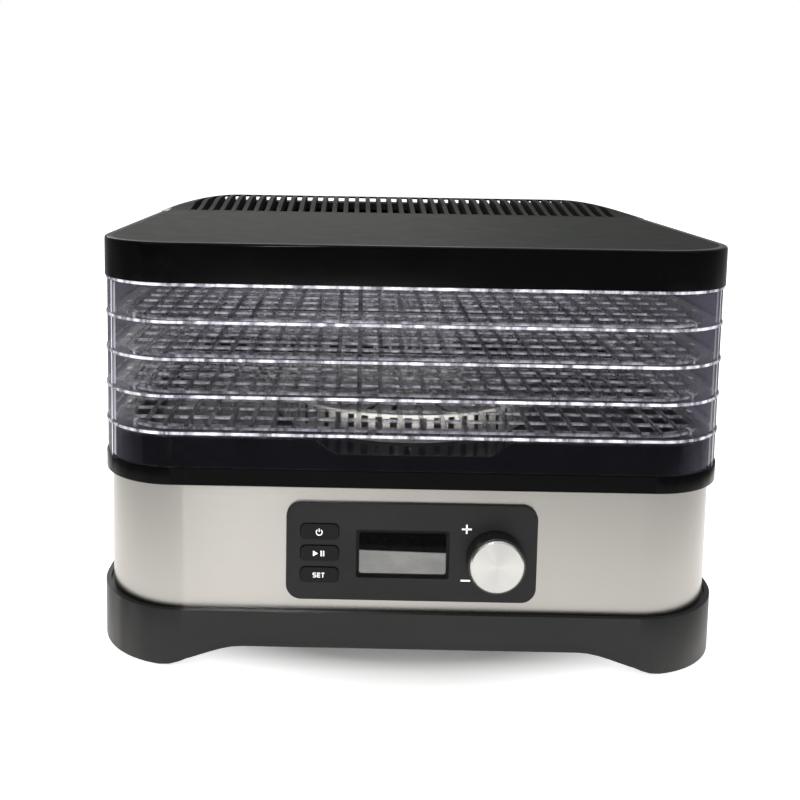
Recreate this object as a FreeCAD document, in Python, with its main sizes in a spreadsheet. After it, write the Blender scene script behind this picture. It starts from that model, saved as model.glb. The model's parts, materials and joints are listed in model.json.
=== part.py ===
import FreeCAD, Part
import math
import os
import re

import Sketcher

# The food dehydrator stands on +Z = up, its front faces -Y, and +X is on the viewer's right.
# The origin is on the table, under the middle of the machine. Everything is in millimetres.

SIZES = {
    # lid: a gloss rim that carries a matte top panel with the vent hood
    "lid_width": 380.0,
    "lid_depth": 320.0,
    "lid_radius": 48.0,
    "lid_height": 23.5,
    "lid_wall": 2.4,
    "lid_border": 5.0,
    "lid_shelf": 8.0,
    "lid_shelf_thickness": 2.2,
    "lid_edge_round": 1.6,
    "panel_thickness": 2.4,
    "panel_clearance": 0.15,
    "hood_rise": 7.9,
    "hood_length": 94.0,
    "hood_ledge": 26.0,
    "hood_shoulder": 52.0,
    "rail_thickness": 1.5,
    "outlet_inset": 19.0,
    "groove_pitch": 9.0,
    "groove_width": 5.4,
    "groove_sill": 3.6,
    "groove_vent_margin": 11.0,
    "groove_vent_end": 1.0,
    # trays: five alike, each a frame with a hanging wall and a mesh floor at its top
    "tray_pitch": 21.9,
    "tray_inset": 0.7,
    "tray_wall": 2.0,
    "tray_bead": 0.7,
    "tray_bead_height": 2.0,
    "tray_flange": 9.0,
    "tray_flange_thickness": 3.6,
    "lip_height": 3.0,
    "lip_thickness": 1.6,
    "lip_clearance": 0.35,
    "tab_width": 7.4,
    "tab_gap": 1.2,
    "tab_offset": 9.7,
    "tab_lift": 0.4,
    "tab_depth": 0.49,
    "mesh_thickness": 3.0,
    "mesh_clearance": 0.1,
    "mesh_bar": 2.9,
    "mesh_column_pitch": 12.9,
    "mesh_row_pitch": 20.6,
    "mesh_border": 5.0,
    "mesh_seat": 2.0,
    "mesh_row_drop": 0.4,
    # base: skirt, steel wrap and deck
    "skirt_flare": 1.8,
    "skirt_radius": 56.0,
    "skirt_bottom": 1.0,
    "skirt_top": 35.5,
    "skirt_wall": 3.0,
    "skirt_inner_wall": 4.4,
    "skirt_step": 2.0,
    "arch_height": 12.4,
    "arch_shadow": 5.6,
    "arch_sweep": 49.0,
    "foot_lobe": 42.8,
    "floor_flange": 16.0,
    "floor_flange_thickness": 2.5,
    "floor_level": 13.0,
    "floor_thickness": 2.5,
    "floor_clearance": 0.3,
    "steel_inset": 2.8,
    "steel_radius": 52.0,
    "steel_thickness": 1.0,
    "steel_visible": 75.5,
    "rim_inset": 0.5,
    "rim_height": 10.0,
    "rim_wall": 2.0,
    "rim_overlap": 4.0,
    "deck_thickness": 3.0,
    "upstand_height": 17.5,
    "upstand_wall": 2.2,
    "dip_floor": 9.0,
    "dip_half_top": 58.5,
    "dip_half_bottom": 45.5,
    "steel_guide_gap": 0.3,
    "steel_guide_wall": 1.8,
    "steel_guide_depth": 8.0,
    "post_inset_x": 65.0,
    "post_inset_y": 20.0,
    "post_radius": 6.0,
    "post_hole_spare": 2.0,
    "foot_inset": 34.0,
    "foot_post_radius": 11.0,
    "foot_radius": 8.0,
    "foot_recess": 2.0,
    "intake_slot_width": 5.0,
    "intake_slot_length": 110.0,
    "intake_pitch": 10.0,
    "intake_count": 13,
    # fan, heater and guard on the machine's middle axis
    "duct_radius": 74.0,
    "duct_wall": 2.5,
    "duct_height": 50.0,
    "duct_flange": 13.0,
    "duct_screw_offset": 8.0,
    "duct_screw_tip": 0.2,
    "duct_flange_thickness": 2.5,
    "guard_overhang": 18.0,
    "guard_wall": 2.0,
    "guard_height": 18.5,
    "guard_top": 2.0,
    "guard_bar_count": 60,
    "guard_slot_width": 4.8,
    "guard_foot": 2.5,
    "guard_hub_radius": 22.0,
    "guard_hub_rim": 8.0,
    "guard_spoke_count": 30,
    "guard_spoke_slot": 4.6,
    "fan_tip_gap": 4.0,
    "fan_lift": 6.0,
    "fan_hub_radius": 20.0,
    "fan_hub_wall": 2.0,
    "fan_hub_top": 3.0,
    "fan_boss_wall": 3.0,
    "fan_height": 22.0,
    "fan_blade_count": 7,
    "fan_blade_tilt": 32.0,
    "fan_blade_chord": 34.0,
    "fan_blade_thickness": 2.0,
    "shaft_radius": 3.0,
    "shaft_clearance": 0.05,
    "motor_radius": 28.0,
    "motor_height": 34.0,
    "motor_nose_wall": 5.0,
    "motor_floor": 4.0,
    "motor_fit": 0.1,
    "bracket_thickness": 2.5,
    "bracket_arm_width": 12.0,
    "bracket_hub_rim": 4.0,
    "heater_drop": 10.0,
    "heater_wall_gap": 16.0,
    "heater_ring_gap": 18.0,
    "heater_coil_radius": 3.0,
    "heater_coil_clearance": 0.3,
    "mica_thickness": 1.0,
    "mica_height": 14.0,
    "mica_clearance": 0.3,
    "fuse_radius": 2.0,
    "fuse_length": 12.0,
    "sensor_radius": 2.5,
    "sensor_height": 8.0,
    "sensor_inset_x": 78.0,
    "sensor_inset_y": 64.0,
    # control panel
    "fascia_width": 148.0,
    "fascia_height": 59.4,
    "fascia_radius": 9.0,
    "fascia_rise": 36.8,
    "fascia_thickness": 2.4,
    "fascia_collar": 2.0,
    "fascia_collar_depth": 5.0,
    "fascia_edge_round": 1.0,
    "steel_opening_margin": 2.4,
    "collar_clearance": 0.5,
    "button_width": 22.5,
    "button_height": 9.3,
    "button_radius": 3.0,
    "button_inset": 19.8,
    "button_pitch": 13.2,
    "button_drop": 0.8,
    "button_gap": 0.3,
    "button_proud": 1.1,
    "button_edge_round": 0.6,
    "button_flange": 0.8,
    "button_flange_thickness": 1.5,
    "button_travel": 1.0,
    "switch_side": 6.0,
    "switch_body": 3.5,
    "switch_stem": 1.6,
    "switch_stem_radius": 1.7,
    "window_width": 54.5,
    "window_height": 28.7,
    "window_radius": 1.5,
    "window_x": -5.2,
    "window_drop": 0.9,
    "window_thickness": 1.4,
    "window_proud": 0.2,
    "window_clearance": 0.2,
    "window_ledge": 1.6,
    "lcd_border": 1.0,
    "lcd_gap": 0.2,
    "knob_inset": 25.3,
    "knob_drop": 1.8,
    "knob_radius": 16.7,
    "knob_depth": 12.6,
    "knob_gap": 0.5,
    "knob_skin": 2.4,
    "knob_face": 3.0,
    "knob_boss_wall": 2.0,
    "knob_boss_gap": 0.5,
    "cap_radius": 15.6,
    "cap_thickness": 1.2,
    "cap_bevel": 0.8,
    "encoder_side": 14.0,
    "encoder_depth": 6.5,
    "encoder_bush_radius": 4.6,
    "encoder_bush_length": 7.0,
    "encoder_bore_floor": 1.5,
    "encoder_shaft_length": 18.0,
    "encoder_end_gap": 0.1,
    "board_inset_x": 7.0,
    "board_inset_z": 4.7,
    "board_thickness": 1.6,
    "board_screw_inset_x": 5.0,
    "board_screw_inset_z": 2.4,
    "board_boss_radius": 2.6,
    "board_boss_face": 1.0,
    "board_screw_spare": 3.0,
    "board_screw_radius": 1.2,
    # power electronics at the back of the base
    "power_inset_x": 124.0,
    "power_inset_y": 48.0,
    "power_width": 100.0,
    "power_depth": 52.0,
    "standoff_height": 12.0,
    "standoff_radius": 3.0,
    "standoff_inset": 6.0,
    "relay_width": 19.0,
    "relay_depth": 15.0,
    "relay_height": 15.0,
    "capacitor_radius": 8.0,
    "capacitor_height": 22.0,
    "terminal_width": 24.0,
    "terminal_depth": 12.0,
    "terminal_height": 14.0,
    "ribbon_width": 16.0,
    "ribbon_x": -48.0,
    "ribbon_thickness": 0.8,
    "ribbon_run": 7.0,
    "ribbon_lift": 0.5,
    "ribbon_rise": 8.0,
    "ribbon_end_gap": 0.2,
    "ribbon_end_run": 2.8,
    # inlet for the mains lead
    "inlet_inset": 80.0,
    "inlet_rise": 27.5,
    "inlet_bore": 3.8,
    "inlet_barrel": 6.0,
    "inlet_flange": 9.0,
    "inlet_flange_length": 3.0,
    "inlet_nose": 5.0,
    "inlet_nose_length": 8.5,
    "inlet_nut": 9.0,
    "inlet_nut_length": 5.0,
    "inlet_clearance": 0.2,
    # screws
    "screw_radius": 2.0,
    "screw_head_radius": 3.6,
    "screw_head": 1.8,
    "screw_clearance": 0.1,
    "screw_grip": 18.0,
}

# Sizes that follow from the ones above.
DERIVED = {
    "tray_width": "lid_width - 2 * tray_inset",
    "tray_depth": "lid_depth - 2 * tray_inset",
    "tray_radius": "lid_radius - tray_inset",
    "rim_width": "lid_width - 2 * rim_inset",
    "rim_depth": "lid_depth - 2 * rim_inset",
    "rim_radius": "lid_radius - rim_inset",
    "steel_width": "lid_width - 2 * steel_inset",
    "steel_depth": "lid_depth - 2 * steel_inset",
    "skirt_width": "lid_width + 2 * skirt_flare",
    "skirt_depth": "lid_depth + 2 * skirt_flare",
    "hood_front": "lid_depth / 2 - hood_length",
    "hood_crest": "lid_depth / 2 - hood_ledge",
    "hood_half_foot": "lid_width / 2",
    "hood_half_flat": "lid_width / 2 - hood_shoulder",
    "outlet_half_width": "lid_width / 2 - outlet_inset",
    "groove_count": "2 * floor(outlet_half_width / groove_pitch)",
    "post_x": "lid_width / 2 - post_inset_x",
    "post_y": "lid_depth / 2 - post_inset_y",
    "foot_x": "lid_width / 2 - foot_inset",
    "foot_y": "lid_depth / 2 - foot_inset",
    "arch_half_foot_front": "skirt_width / 2 - foot_lobe",
    "arch_half_top_front": "arch_half_foot_front - arch_sweep",
    "arch_half_foot_side": "skirt_depth / 2 - foot_lobe",
    "arch_half_top_side": "arch_half_foot_side - arch_sweep",
    "steel_bottom": "skirt_top - skirt_step",
    "rim_bottom": "skirt_top + steel_visible",
    "rim_top": "rim_bottom + rim_height",
    "deck_under": "rim_bottom + rim_overlap",
    "deck_top": "deck_under + deck_thickness",
    "tray_top": "rim_top + 5 * tray_pitch",
    "lid_top": "tray_top + lid_height",
    "crest": "lid_top + hood_rise",
    "wall_inset": "tray_bead + tray_wall",
    "lip_inset": "wall_inset + lip_clearance",
    "mesh_inset": "wall_inset + tray_flange",
    "mesh_edge": "mesh_inset + mesh_clearance",
    "mesh_columns": "floor((tray_width - 2 * (mesh_edge + mesh_border)) / mesh_column_pitch)",
    "mesh_rows": "floor((tray_depth - 2 * (mesh_edge + mesh_border)) / mesh_row_pitch)",
    "floor_inset": "skirt_wall + skirt_inner_wall + floor_clearance",
    "floor_top": "floor_level + floor_thickness",
    "flange_top": "floor_top + floor_flange_thickness",
    "steel_front": "steel_depth / 2",
    "fascia_front": "steel_front + fascia_thickness",
    "fascia_middle": "skirt_top + fascia_rise",
    "button_x": "button_inset - fascia_width / 2",
    "button_middle": "fascia_middle - button_drop",
    "window_middle": "fascia_middle - window_drop",
    "knob_x": "fascia_width / 2 - knob_inset",
    "knob_middle": "fascia_middle - knob_drop",
    "board_width": "fascia_width - 2 * board_inset_x",
    "board_height": "fascia_height - 2 * board_inset_z",
    "board_screw_x": "board_width / 2 - board_screw_inset_x",
    "board_screw_z": "board_height / 2 - board_screw_inset_z",
    "stem_tip": "steel_front - button_gap - button_flange_thickness - button_travel - button_gap",
    "board_front": "stem_tip - switch_stem - switch_body",
    "board_back": "board_front - board_thickness",
    "duct_bottom": "deck_under - duct_height",
    "duct_flange_radius": "duct_radius + duct_flange",
    "duct_screw_circle": "duct_radius + duct_screw_offset",
    "guard_radius": "duct_radius + guard_overhang",
    "fan_radius": "duct_radius - fan_tip_gap",
    "fan_level": "duct_bottom + fan_lift",
    "heater_level": "deck_under - heater_drop",
    "heater_outer_radius": "duct_radius - heater_wall_gap",
    "heater_inner_radius": "heater_outer_radius - heater_ring_gap",
    "sensor_x": "sensor_inset_x - lid_width / 2",
    "sensor_y": "sensor_inset_y - lid_depth / 2",
    "bracket_bottom": "duct_bottom - bracket_thickness",
    "motor_bottom": "bracket_bottom - motor_height",
    "power_level": "floor_top + standoff_height",
    "power_x": "power_inset_x - lid_width / 2",
    "power_y": "lid_depth / 2 - power_inset_y",
    "inlet_x": "inlet_inset - lid_width / 2",
    "inlet_z": "skirt_top + inlet_rise",
    "knob_front": "fascia_front + knob_gap + knob_depth",
}


def new_sheet(document):
    """Writes the driving dimensions into a spreadsheet, one named cell each."""
    sheet = document.addObject("Spreadsheet::Sheet", "sizes")
    for row, (name, number) in enumerate(SIZES.items(), start=1):
        sheet.set(f"A{row}", name)
        sheet.set(f"B{row}", str(number))
        sheet.setAlias(f"B{row}", name)
    document.recompute()
    return sheet


doc = FreeCAD.newDocument("food_dehydrator")
sizes = new_sheet(doc)
scratch = doc.addObject("App::FeaturePython", "scratch")


def expression(text):
    """Turns a formula of size names into an expression of the sheet's cells."""

    def replace(match):
        name = match.group(0)
        if name in DERIVED:
            return "(" + expression(DERIVED[name]) + ")"
        return "sizes." + name if name in SIZES else name

    return re.sub(r"[a-z][a-z_]*", replace, text)


def number(text):
    """Works a formula of size names out, for first sketch positions and edge picks."""
    return float(scratch.evalExpression(expression(text)))


# ---------------------------------------------------------------- sketches and features


def new_body(label):
    body = doc.addObject("PartDesign::Body", label)
    body.Label = label
    body.AllowCompound = True
    return body


def origin_item(body, role):
    return next(item for item in body.Origin.OriginFeatures if item.Role == role)


def new_sketch(body, name, plane, offset="0"):
    """A sketch on one of the body's own planes, moved along the plane's normal by offset."""
    sketch = body.newObject("Sketcher::SketchObject", body.Label + "_" + name)
    sketch.AttachmentSupport = (origin_item(body, plane), [""])
    sketch.MapMode = "FlatFace"
    sketch.setExpression("AttachmentOffset.Base.z", expression(offset))
    return sketch


def dimension(sketch, kind, references, text):
    index = sketch.addConstraint(Sketcher.Constraint(kind, *references, number(text)))
    sketch.setExpression(f"Constraints[{index}]", expression(text))


def draw_polygon(sketch, points):
    spots = [FreeCAD.Vector(number(x), number(y), 0) for x, y in points]
    lines = [
        sketch.addGeometry(Part.LineSegment(start, end))
        for start, end in zip(spots, spots[1:] + spots[:1])
    ]
    for position, (x, y) in enumerate(points):
        sketch.addConstraint(
            Sketcher.Constraint("Coincident", lines[position - 1], 2, lines[position], 1)
        )
        dimension(sketch, "DistanceX", (lines[position], 1), x)
        dimension(sketch, "DistanceY", (lines[position], 1), y)


def draw_box(sketch, x, y, width, height):
    """A rectangle round the centre x, y."""
    left, right = f"{x} - ({width}) / 2", f"{x} + ({width}) / 2"
    low, high = f"{y} - ({height}) / 2", f"{y} + ({height}) / 2"
    draw_polygon(sketch, [(left, low), (right, low), (right, high), (left, high)])


def draw_circle(sketch, x, y, radius):
    centre = FreeCAD.Vector(number(x), number(y), 0)
    axis = FreeCAD.Vector(0, 0, 1)
    ring = sketch.addGeometry(Part.Circle(centre, axis, number(radius)))
    dimension(sketch, "Radius", (ring,), radius)
    dimension(sketch, "DistanceX", (ring, 3), x)
    dimension(sketch, "DistanceY", (ring, 3), y)


def draw_rounded_box(sketch, width, height, radius, x="0", y="0"):
    """A rectangle with round corners, round the centre x, y."""
    left, right = f"{x} - ({width}) / 2", f"{x} + ({width}) / 2"
    low, high = f"{y} - ({height}) / 2", f"{y} + ({height}) / 2"
    x0, x1, y0, y1, r = (number(text) for text in (left, right, low, high, radius))
    corners = [(x1 - r, y0 + r, 270), (x1 - r, y1 - r, 0), (x0 + r, y1 - r, 90), (x0 + r, y0 + r, 180)]
    sides = [
        ((x0 + r, y0), (x1 - r, y0)),
        ((x1, y0 + r), (x1, y1 - r)),
        ((x1 - r, y1), (x0 + r, y1)),
        ((x0, y1 - r), (x0, y0 + r)),
    ]
    lines, arcs = [], []
    for (start, end), (centre_x, centre_y, angle) in zip(sides, corners):
        lines.append(sketch.addGeometry(Part.LineSegment(FreeCAD.Vector(*start), FreeCAD.Vector(*end))))
        circle = Part.Circle(FreeCAD.Vector(centre_x, centre_y), FreeCAD.Vector(0, 0, 1), r)
        arc = Part.ArcOfCircle(circle, math.radians(angle), math.radians(angle + 90))
        arcs.append(sketch.addGeometry(arc))
    for side in range(4):
        following = lines[(side + 1) % 4]
        sketch.addConstraint(Sketcher.Constraint("Tangent", lines[side], 2, arcs[side], 1))
        sketch.addConstraint(Sketcher.Constraint("Tangent", arcs[side], 2, following, 1))
    for side, kind in enumerate(("Horizontal", "Vertical", "Horizontal", "Vertical")):
        sketch.addConstraint(Sketcher.Constraint(kind, lines[side]))
    for side in range(3):
        sketch.addConstraint(Sketcher.Constraint("Equal", arcs[side], arcs[side + 1]))
    dimension(sketch, "Radius", (arcs[0],), radius)
    dimension(sketch, "DistanceY", (lines[0], 1), low)
    dimension(sketch, "DistanceX", (lines[1], 1), right)
    dimension(sketch, "DistanceY", (lines[2], 1), high)
    dimension(sketch, "DistanceX", (lines[3], 1), left)


def draw_outline(sketch, part, inset="0"):
    """The rounded plan outline of the lid, tray, rim, steel or skirt, moved inwards by inset."""
    width, depth = f"{part}_width - 2 * ({inset})", f"{part}_depth - 2 * ({inset})"
    draw_rounded_box(sketch, width, depth, f"{part}_radius - ({inset})")


def extrude(body, kind, sketch, length, backwards=False):
    feature = body.newObject("PartDesign::" + kind, sketch.Name + "_" + kind.lower())
    feature.Profile = (sketch, [""])
    feature.setExpression("Length", expression(length))
    feature.Reversed = backwards
    sketch.Visibility = False
    return feature


def pad(body, sketch, length, backwards=False):
    """Adds material along the sketch plane's normal, or against it."""
    return extrude(body, "Pad", sketch, length, backwards)


def cut(body, sketch, length, forwards=False):
    """Takes material away against the sketch plane's normal, or along it."""
    return extrude(body, "Pocket", sketch, length, forwards)


def repeat(body, features, axis, length, count):
    pattern = body.newObject("PartDesign::LinearPattern", body.Label + "_row")
    pattern.Originals = features
    pattern.Direction = (origin_item(body, axis), [""])
    pattern.setExpression("Length", expression(length))
    pattern.setExpression("Occurrences", expression(count))
    body.Tip = pattern
    return pattern


def repeat_round(body, features, count):
    pattern = body.newObject("PartDesign::PolarPattern", body.Label + "_ring")
    pattern.Originals = features
    pattern.Axis = (origin_item(body, "Z_Axis"), [""])
    pattern.Angle = 360
    pattern.setExpression("Occurrences", expression(count))
    body.Tip = pattern
    return pattern


def dress_edges(body, kind, wanted, amount, setting):
    """Rounds or bevels the edges of the body's last feature that the test named wanted picks."""
    doc.recompute()
    base = body.Tip
    names = [f"Edge{i}" for i, edge in enumerate(base.Shape.Edges, start=1) if wanted(edge)]
    if not names:
        raise RuntimeError("no edge to dress on " + body.Label)
    feature = body.newObject("PartDesign::" + kind, body.Label + "_" + kind.lower())
    feature.Base = (base, names)
    feature.setExpression(setting, expression(amount))
    return feature


def round_edges(body, wanted, radius):
    return dress_edges(body, "Fillet", wanted, radius, "Radius")


def four_corners(x, y):
    return [(f"{i} * ({x})", f"{j} * ({y})") for i in (-1, 1) for j in (-1, 1)]


def cylinders(body, name, spots, radius, low, high):
    """Upright cylinders from the height low to the height high, at several spots."""
    sketch = new_sketch(body, name, "XY_Plane", low)
    for x, y in spots:
        draw_circle(sketch, x, y, radius)
    return pad(body, sketch, f"{high} - ({low})")


def drill(body, name, spots, radius, low, high):
    """Upright round holes from the height low to the height high, at several spots."""
    sketch = new_sketch(body, name, "XY_Plane", low)
    for x, y in spots:
        draw_circle(sketch, x, y, radius)
    return cut(body, sketch, f"{high} - ({low})", forwards=True)


def ring_of_outline(body, name, part, outer_inset, inner_inset, low, high):
    """A wall that follows a plan outline between two insets and two heights."""
    sketch = new_sketch(body, name, "XY_Plane", low)
    draw_outline(sketch, part, outer_inset)
    draw_outline(sketch, part, inner_inset)
    return pad(body, sketch, f"{high} - ({low})")


def plate_of_outline(body, name, part, inset, low, high):
    sketch = new_sketch(body, name, "XY_Plane", low)
    draw_outline(sketch, part, inset)
    return pad(body, sketch, f"{high} - ({low})")


def hollow_of_outline(body, name, part, inset, low, high):
    sketch = new_sketch(body, name, "XY_Plane", low)
    draw_outline(sketch, part, inset)
    return cut(body, sketch, f"{high} - ({low})", forwards=True)


def block(body, name, x, z, width, height, front, back, radius=None):
    """A block on the front wall, from the distance front to the distance back before the axis."""
    sketch = new_sketch(body, name, "XZ_Plane", back)
    if radius is None:
        draw_box(sketch, x, z, width, height)
    else:
        draw_rounded_box(sketch, width, height, radius, x, z)
    return pad(body, sketch, f"{front} - ({back})")


def window(body, name, x, z, width, height, front, back, radius):
    """A rounded opening through the front wall between two distances before the axis."""
    sketch = new_sketch(body, name, "XZ_Plane", back)
    draw_rounded_box(sketch, width, height, radius, x, z)
    return cut(body, sketch, f"{front} - ({back})", forwards=True)


def rod(body, name, x, z, radius, front, back):
    """A cylinder whose axis runs front to back."""
    sketch = new_sketch(body, name, "XZ_Plane", back)
    draw_circle(sketch, x, z, radius)
    return pad(body, sketch, f"{front} - ({back})")


def bore(body, name, x, z, radius, front, back):
    """A round hole whose axis runs front to back."""
    sketch = new_sketch(body, name, "XZ_Plane", back)
    draw_circle(sketch, x, z, radius)
    return cut(body, sketch, f"{front} - ({back})", forwards=True)


# ---------------------------------------------------------------- lid


def shoulder_points(side, low, high, drop):
    """The hood's side curve, from its flat crest out to the lid's edge, lowered by drop."""
    points = []
    for step in range(9):
        share = step / 8
        x = f"{side} * (hood_half_flat + {share} * (hood_half_foot - hood_half_flat))"
        points.append((x, f"crest - {drop} - {share ** 2} * hood_rise"))
    return [point for point in points if low <= number(f"{side} * ({point[0]})") <= high]


def shape_hood(body):
    """Cuts a block down to the lid's flat top and the hood that rises along its back."""
    above = "crest + 1"
    ramp = new_sketch(body, "ramp", "YZ_Plane", "lid_width / 2")
    rise = []
    for step in range(7):
        share = step / 6
        smooth = share * share * (3 - 2 * share)
        rise.append((f"hood_front + {share} * (hood_crest - hood_front)", f"lid_top + {smooth} * hood_rise"))
    draw_polygon(
        ramp,
        [("-lid_depth / 2 - 1", "lid_top")] + rise + [("hood_crest", above), ("-lid_depth / 2 - 1", above)],
    )
    cut(body, ramp, "lid_width")
    for side in (-1, 1):
        shoulder = new_sketch(body, "shoulder" + str(side + 1), "XZ_Plane", "lid_depth / 2")
        curve = shoulder_points(side, 0, number("hood_half_foot"), 0)
        draw_polygon(
            shoulder,
            curve + [(f"{side} * (lid_width / 2 + 1)", "lid_top"), (f"{side} * (lid_width / 2 + 1)", above),
                     (f"{side} * hood_half_flat", above)],
        )
        cut(body, shoulder, "lid_depth")


def make_lid_frame():
    """The gloss rim of the lid: a wall, a border that rises over the hood, and the panel's shelf."""
    body = new_body("lid_frame")
    plate_of_outline(body, "block", "lid", "0", "tray_top", "crest")
    shape_hood(body)
    hollow_of_outline(body, "recess", "lid", "lid_border", "lid_top - panel_thickness", "crest")
    shelf_under = "lid_top - panel_thickness - lid_shelf_thickness"
    hollow_of_outline(body, "inside", "lid", "lid_wall", "tray_top", shelf_under)
    hollow_of_outline(body, "opening", "lid", "lid_border + lid_shelf", shelf_under, "lid_top")
    outlet = new_sketch(body, "outlet", "XZ_Plane", "-lid_depth / 2 - 1")
    reach = number("outlet_half_width")
    left = shoulder_points(-1, 0, reach, "rail_thickness")
    right = shoulder_points(1, 0, reach, "rail_thickness")
    sill = "lid_top + groove_sill"
    draw_polygon(outlet, left + [(left[-1][0], sill), (right[-1][0], sill)] + right[::-1])
    cut(body, outlet, "lid_border + 2", forwards=True)
    round_edges(body, on_front_outline, "lid_edge_round")
    return body


def on_front_outline(edge):
    """Picks the lid's flat top edge, in front of the hood."""
    z, half_x, half_y = number("lid_top"), number("lid_width / 2"), number("lid_depth / 2")
    return all(
        abs(vertex.Z - z) < 0.01
        and vertex.Y < number("hood_front") + 0.01
        and (abs(abs(vertex.X) - half_x) < 0.01 or abs(vertex.Y + half_y) < 0.01)
        for vertex in edge.Vertexes
    )


def make_lid_panel():
    """The matte top of the lid, whose back rises to a hood with ribs and air slots between them."""
    body = new_body("lid_panel")
    plate_of_outline(
        body, "block", "lid", "lid_border + panel_clearance", "lid_top - panel_thickness", "crest"
    )
    shape_hood(body)
    first = "-groove_pitch * (groove_count - 1) / 2"
    groove = new_sketch(body, "groove", "YZ_Plane", f"{first} + groove_width / 2")
    draw_polygon(
        groove,
        [
            ("hood_front", "lid_top"),
            ("hood_front + groove_width", "lid_top"),
            ("lid_depth / 2", "lid_top + groove_sill"),
            ("lid_depth / 2", "crest + 1"),
            ("hood_front", "crest + 1"),
        ],
    )
    groove_cut = cut(body, groove, "groove_width")
    vent = new_sketch(body, "vent", "XY_Plane", "crest + 1")
    vent_front = "hood_front + groove_vent_margin"
    vent_back = "lid_depth / 2 - lid_border - lid_shelf - groove_vent_end"
    vent_length = f"{vent_back} - ({vent_front})"
    draw_box(vent, first, f"({vent_front} + {vent_back}) / 2", "groove_width", vent_length)
    vent_cut = cut(body, vent, "panel_thickness + hood_rise + 2")
    repeat(body, [groove_cut, vent_cut], "X_Axis", "groove_pitch * (groove_count - 1)", "groove_count")
    return body


# ---------------------------------------------------------------- trays


def make_tray_frame(label):
    """A tray's wall, ledge and nesting lip, with its wall's foot at height 0."""
    body = new_body(label)
    flange_under = "tray_pitch - tray_flange_thickness"
    plate_of_outline(body, "wall", "tray", "tray_bead", "0", "tray_pitch")
    plate_of_outline(body, "bead", "tray", "0", "tray_pitch - tray_bead_height", "tray_pitch")
    hollow_of_outline(body, "inside", "tray", "wall_inset", "0", flange_under)
    hollow_of_outline(body, "opening", "tray", "mesh_inset", flange_under, "tray_pitch")
    ring_of_outline(
        body, "seat", "tray", "mesh_inset - 0.1", "mesh_inset + mesh_seat",
        flange_under, "tray_pitch - mesh_thickness",
    )
    ring_of_outline(
        body, "lip", "tray", "lip_inset", "lip_inset + lip_thickness", "tray_pitch", "tray_pitch + lip_height"
    )
    tabs = new_sketch(body, "tabs", "XZ_Plane", "tray_depth / 2 - tray_bead - 0.1")
    for side in (-1, 1):
        middle = f"-tab_offset + {side} * (tab_width + tab_gap) / 2"
        height = "tray_pitch - tray_bead_height / 2 - tab_lift"
        draw_box(tabs, middle, f"tab_lift + ({height}) / 2", "tab_width", height)
    pad(body, tabs, "tab_depth + 0.1")
    return body


def make_tray_mesh(label):
    """A tray's mesh floor: a border with bars both ways, its underside at height 0."""
    body = new_body(label)
    inset = "mesh_edge"
    ring_of_outline(body, "border", "tray", inset, f"{inset} + mesh_border", "0", "mesh_thickness")
    bar_length = f"tray_depth - 2 * ({inset}) - mesh_border"
    row_length = f"tray_width - 2 * ({inset}) - mesh_border"
    column = new_sketch(body, "column", "XY_Plane", "0")
    draw_box(column, "-mesh_column_pitch * (mesh_columns - 1) / 2", "0", "mesh_bar", bar_length)
    columns = pad(body, column, "mesh_thickness")
    repeat(body, [columns], "X_Axis", "mesh_column_pitch * (mesh_columns - 1)", "mesh_columns")
    row = new_sketch(body, "row", "XY_Plane", "mesh_row_drop")
    draw_box(row, "0", "-mesh_row_pitch * (mesh_rows - 1) / 2", row_length, "mesh_bar")
    rows = pad(body, row, "mesh_thickness - 2 * mesh_row_drop")
    repeat(body, [rows], "Y_Axis", "mesh_row_pitch * (mesh_rows - 1)", "mesh_rows")
    trim = new_sketch(body, "trim", "XY_Plane", "-1")
    draw_outline(trim, "tray", inset)
    draw_box(trim, "0", "0", "tray_width", "tray_depth")
    cut(body, trim, "mesh_thickness + 2", forwards=True)
    return body


def link_to(original, label):
    """Another copy of a sub-part that is made once."""
    link = doc.addObject("App::Link", label)
    link.LinkedObject = original
    link.Label = label
    return link


def make_trays():
    """Five alike trays, stacked with every second one turned round."""
    nodes = []
    frame = make_tray_frame("tray_1_frame")
    mesh = make_tray_mesh("tray_1_mesh")
    for tray in range(1, 6):
        if tray > 1:
            frame_node = link_to(frame, f"tray_{tray}_frame")
            mesh_node = link_to(mesh, f"tray_{tray}_mesh")
        else:
            frame_node, mesh_node = frame, mesh
        foot = f"rim_top + {5 - tray} * tray_pitch"
        for node, level in ((frame_node, foot), (mesh_node, f"{foot} + tray_pitch - mesh_thickness")):
            node.Placement.Rotation = FreeCAD.Rotation(FreeCAD.Vector(0, 0, 1), 180 * ((tray + 1) % 2))
            node.setExpression("Placement.Base.z", expression(level))
            nodes.append(node)
    return nodes


# ---------------------------------------------------------------- base


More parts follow.
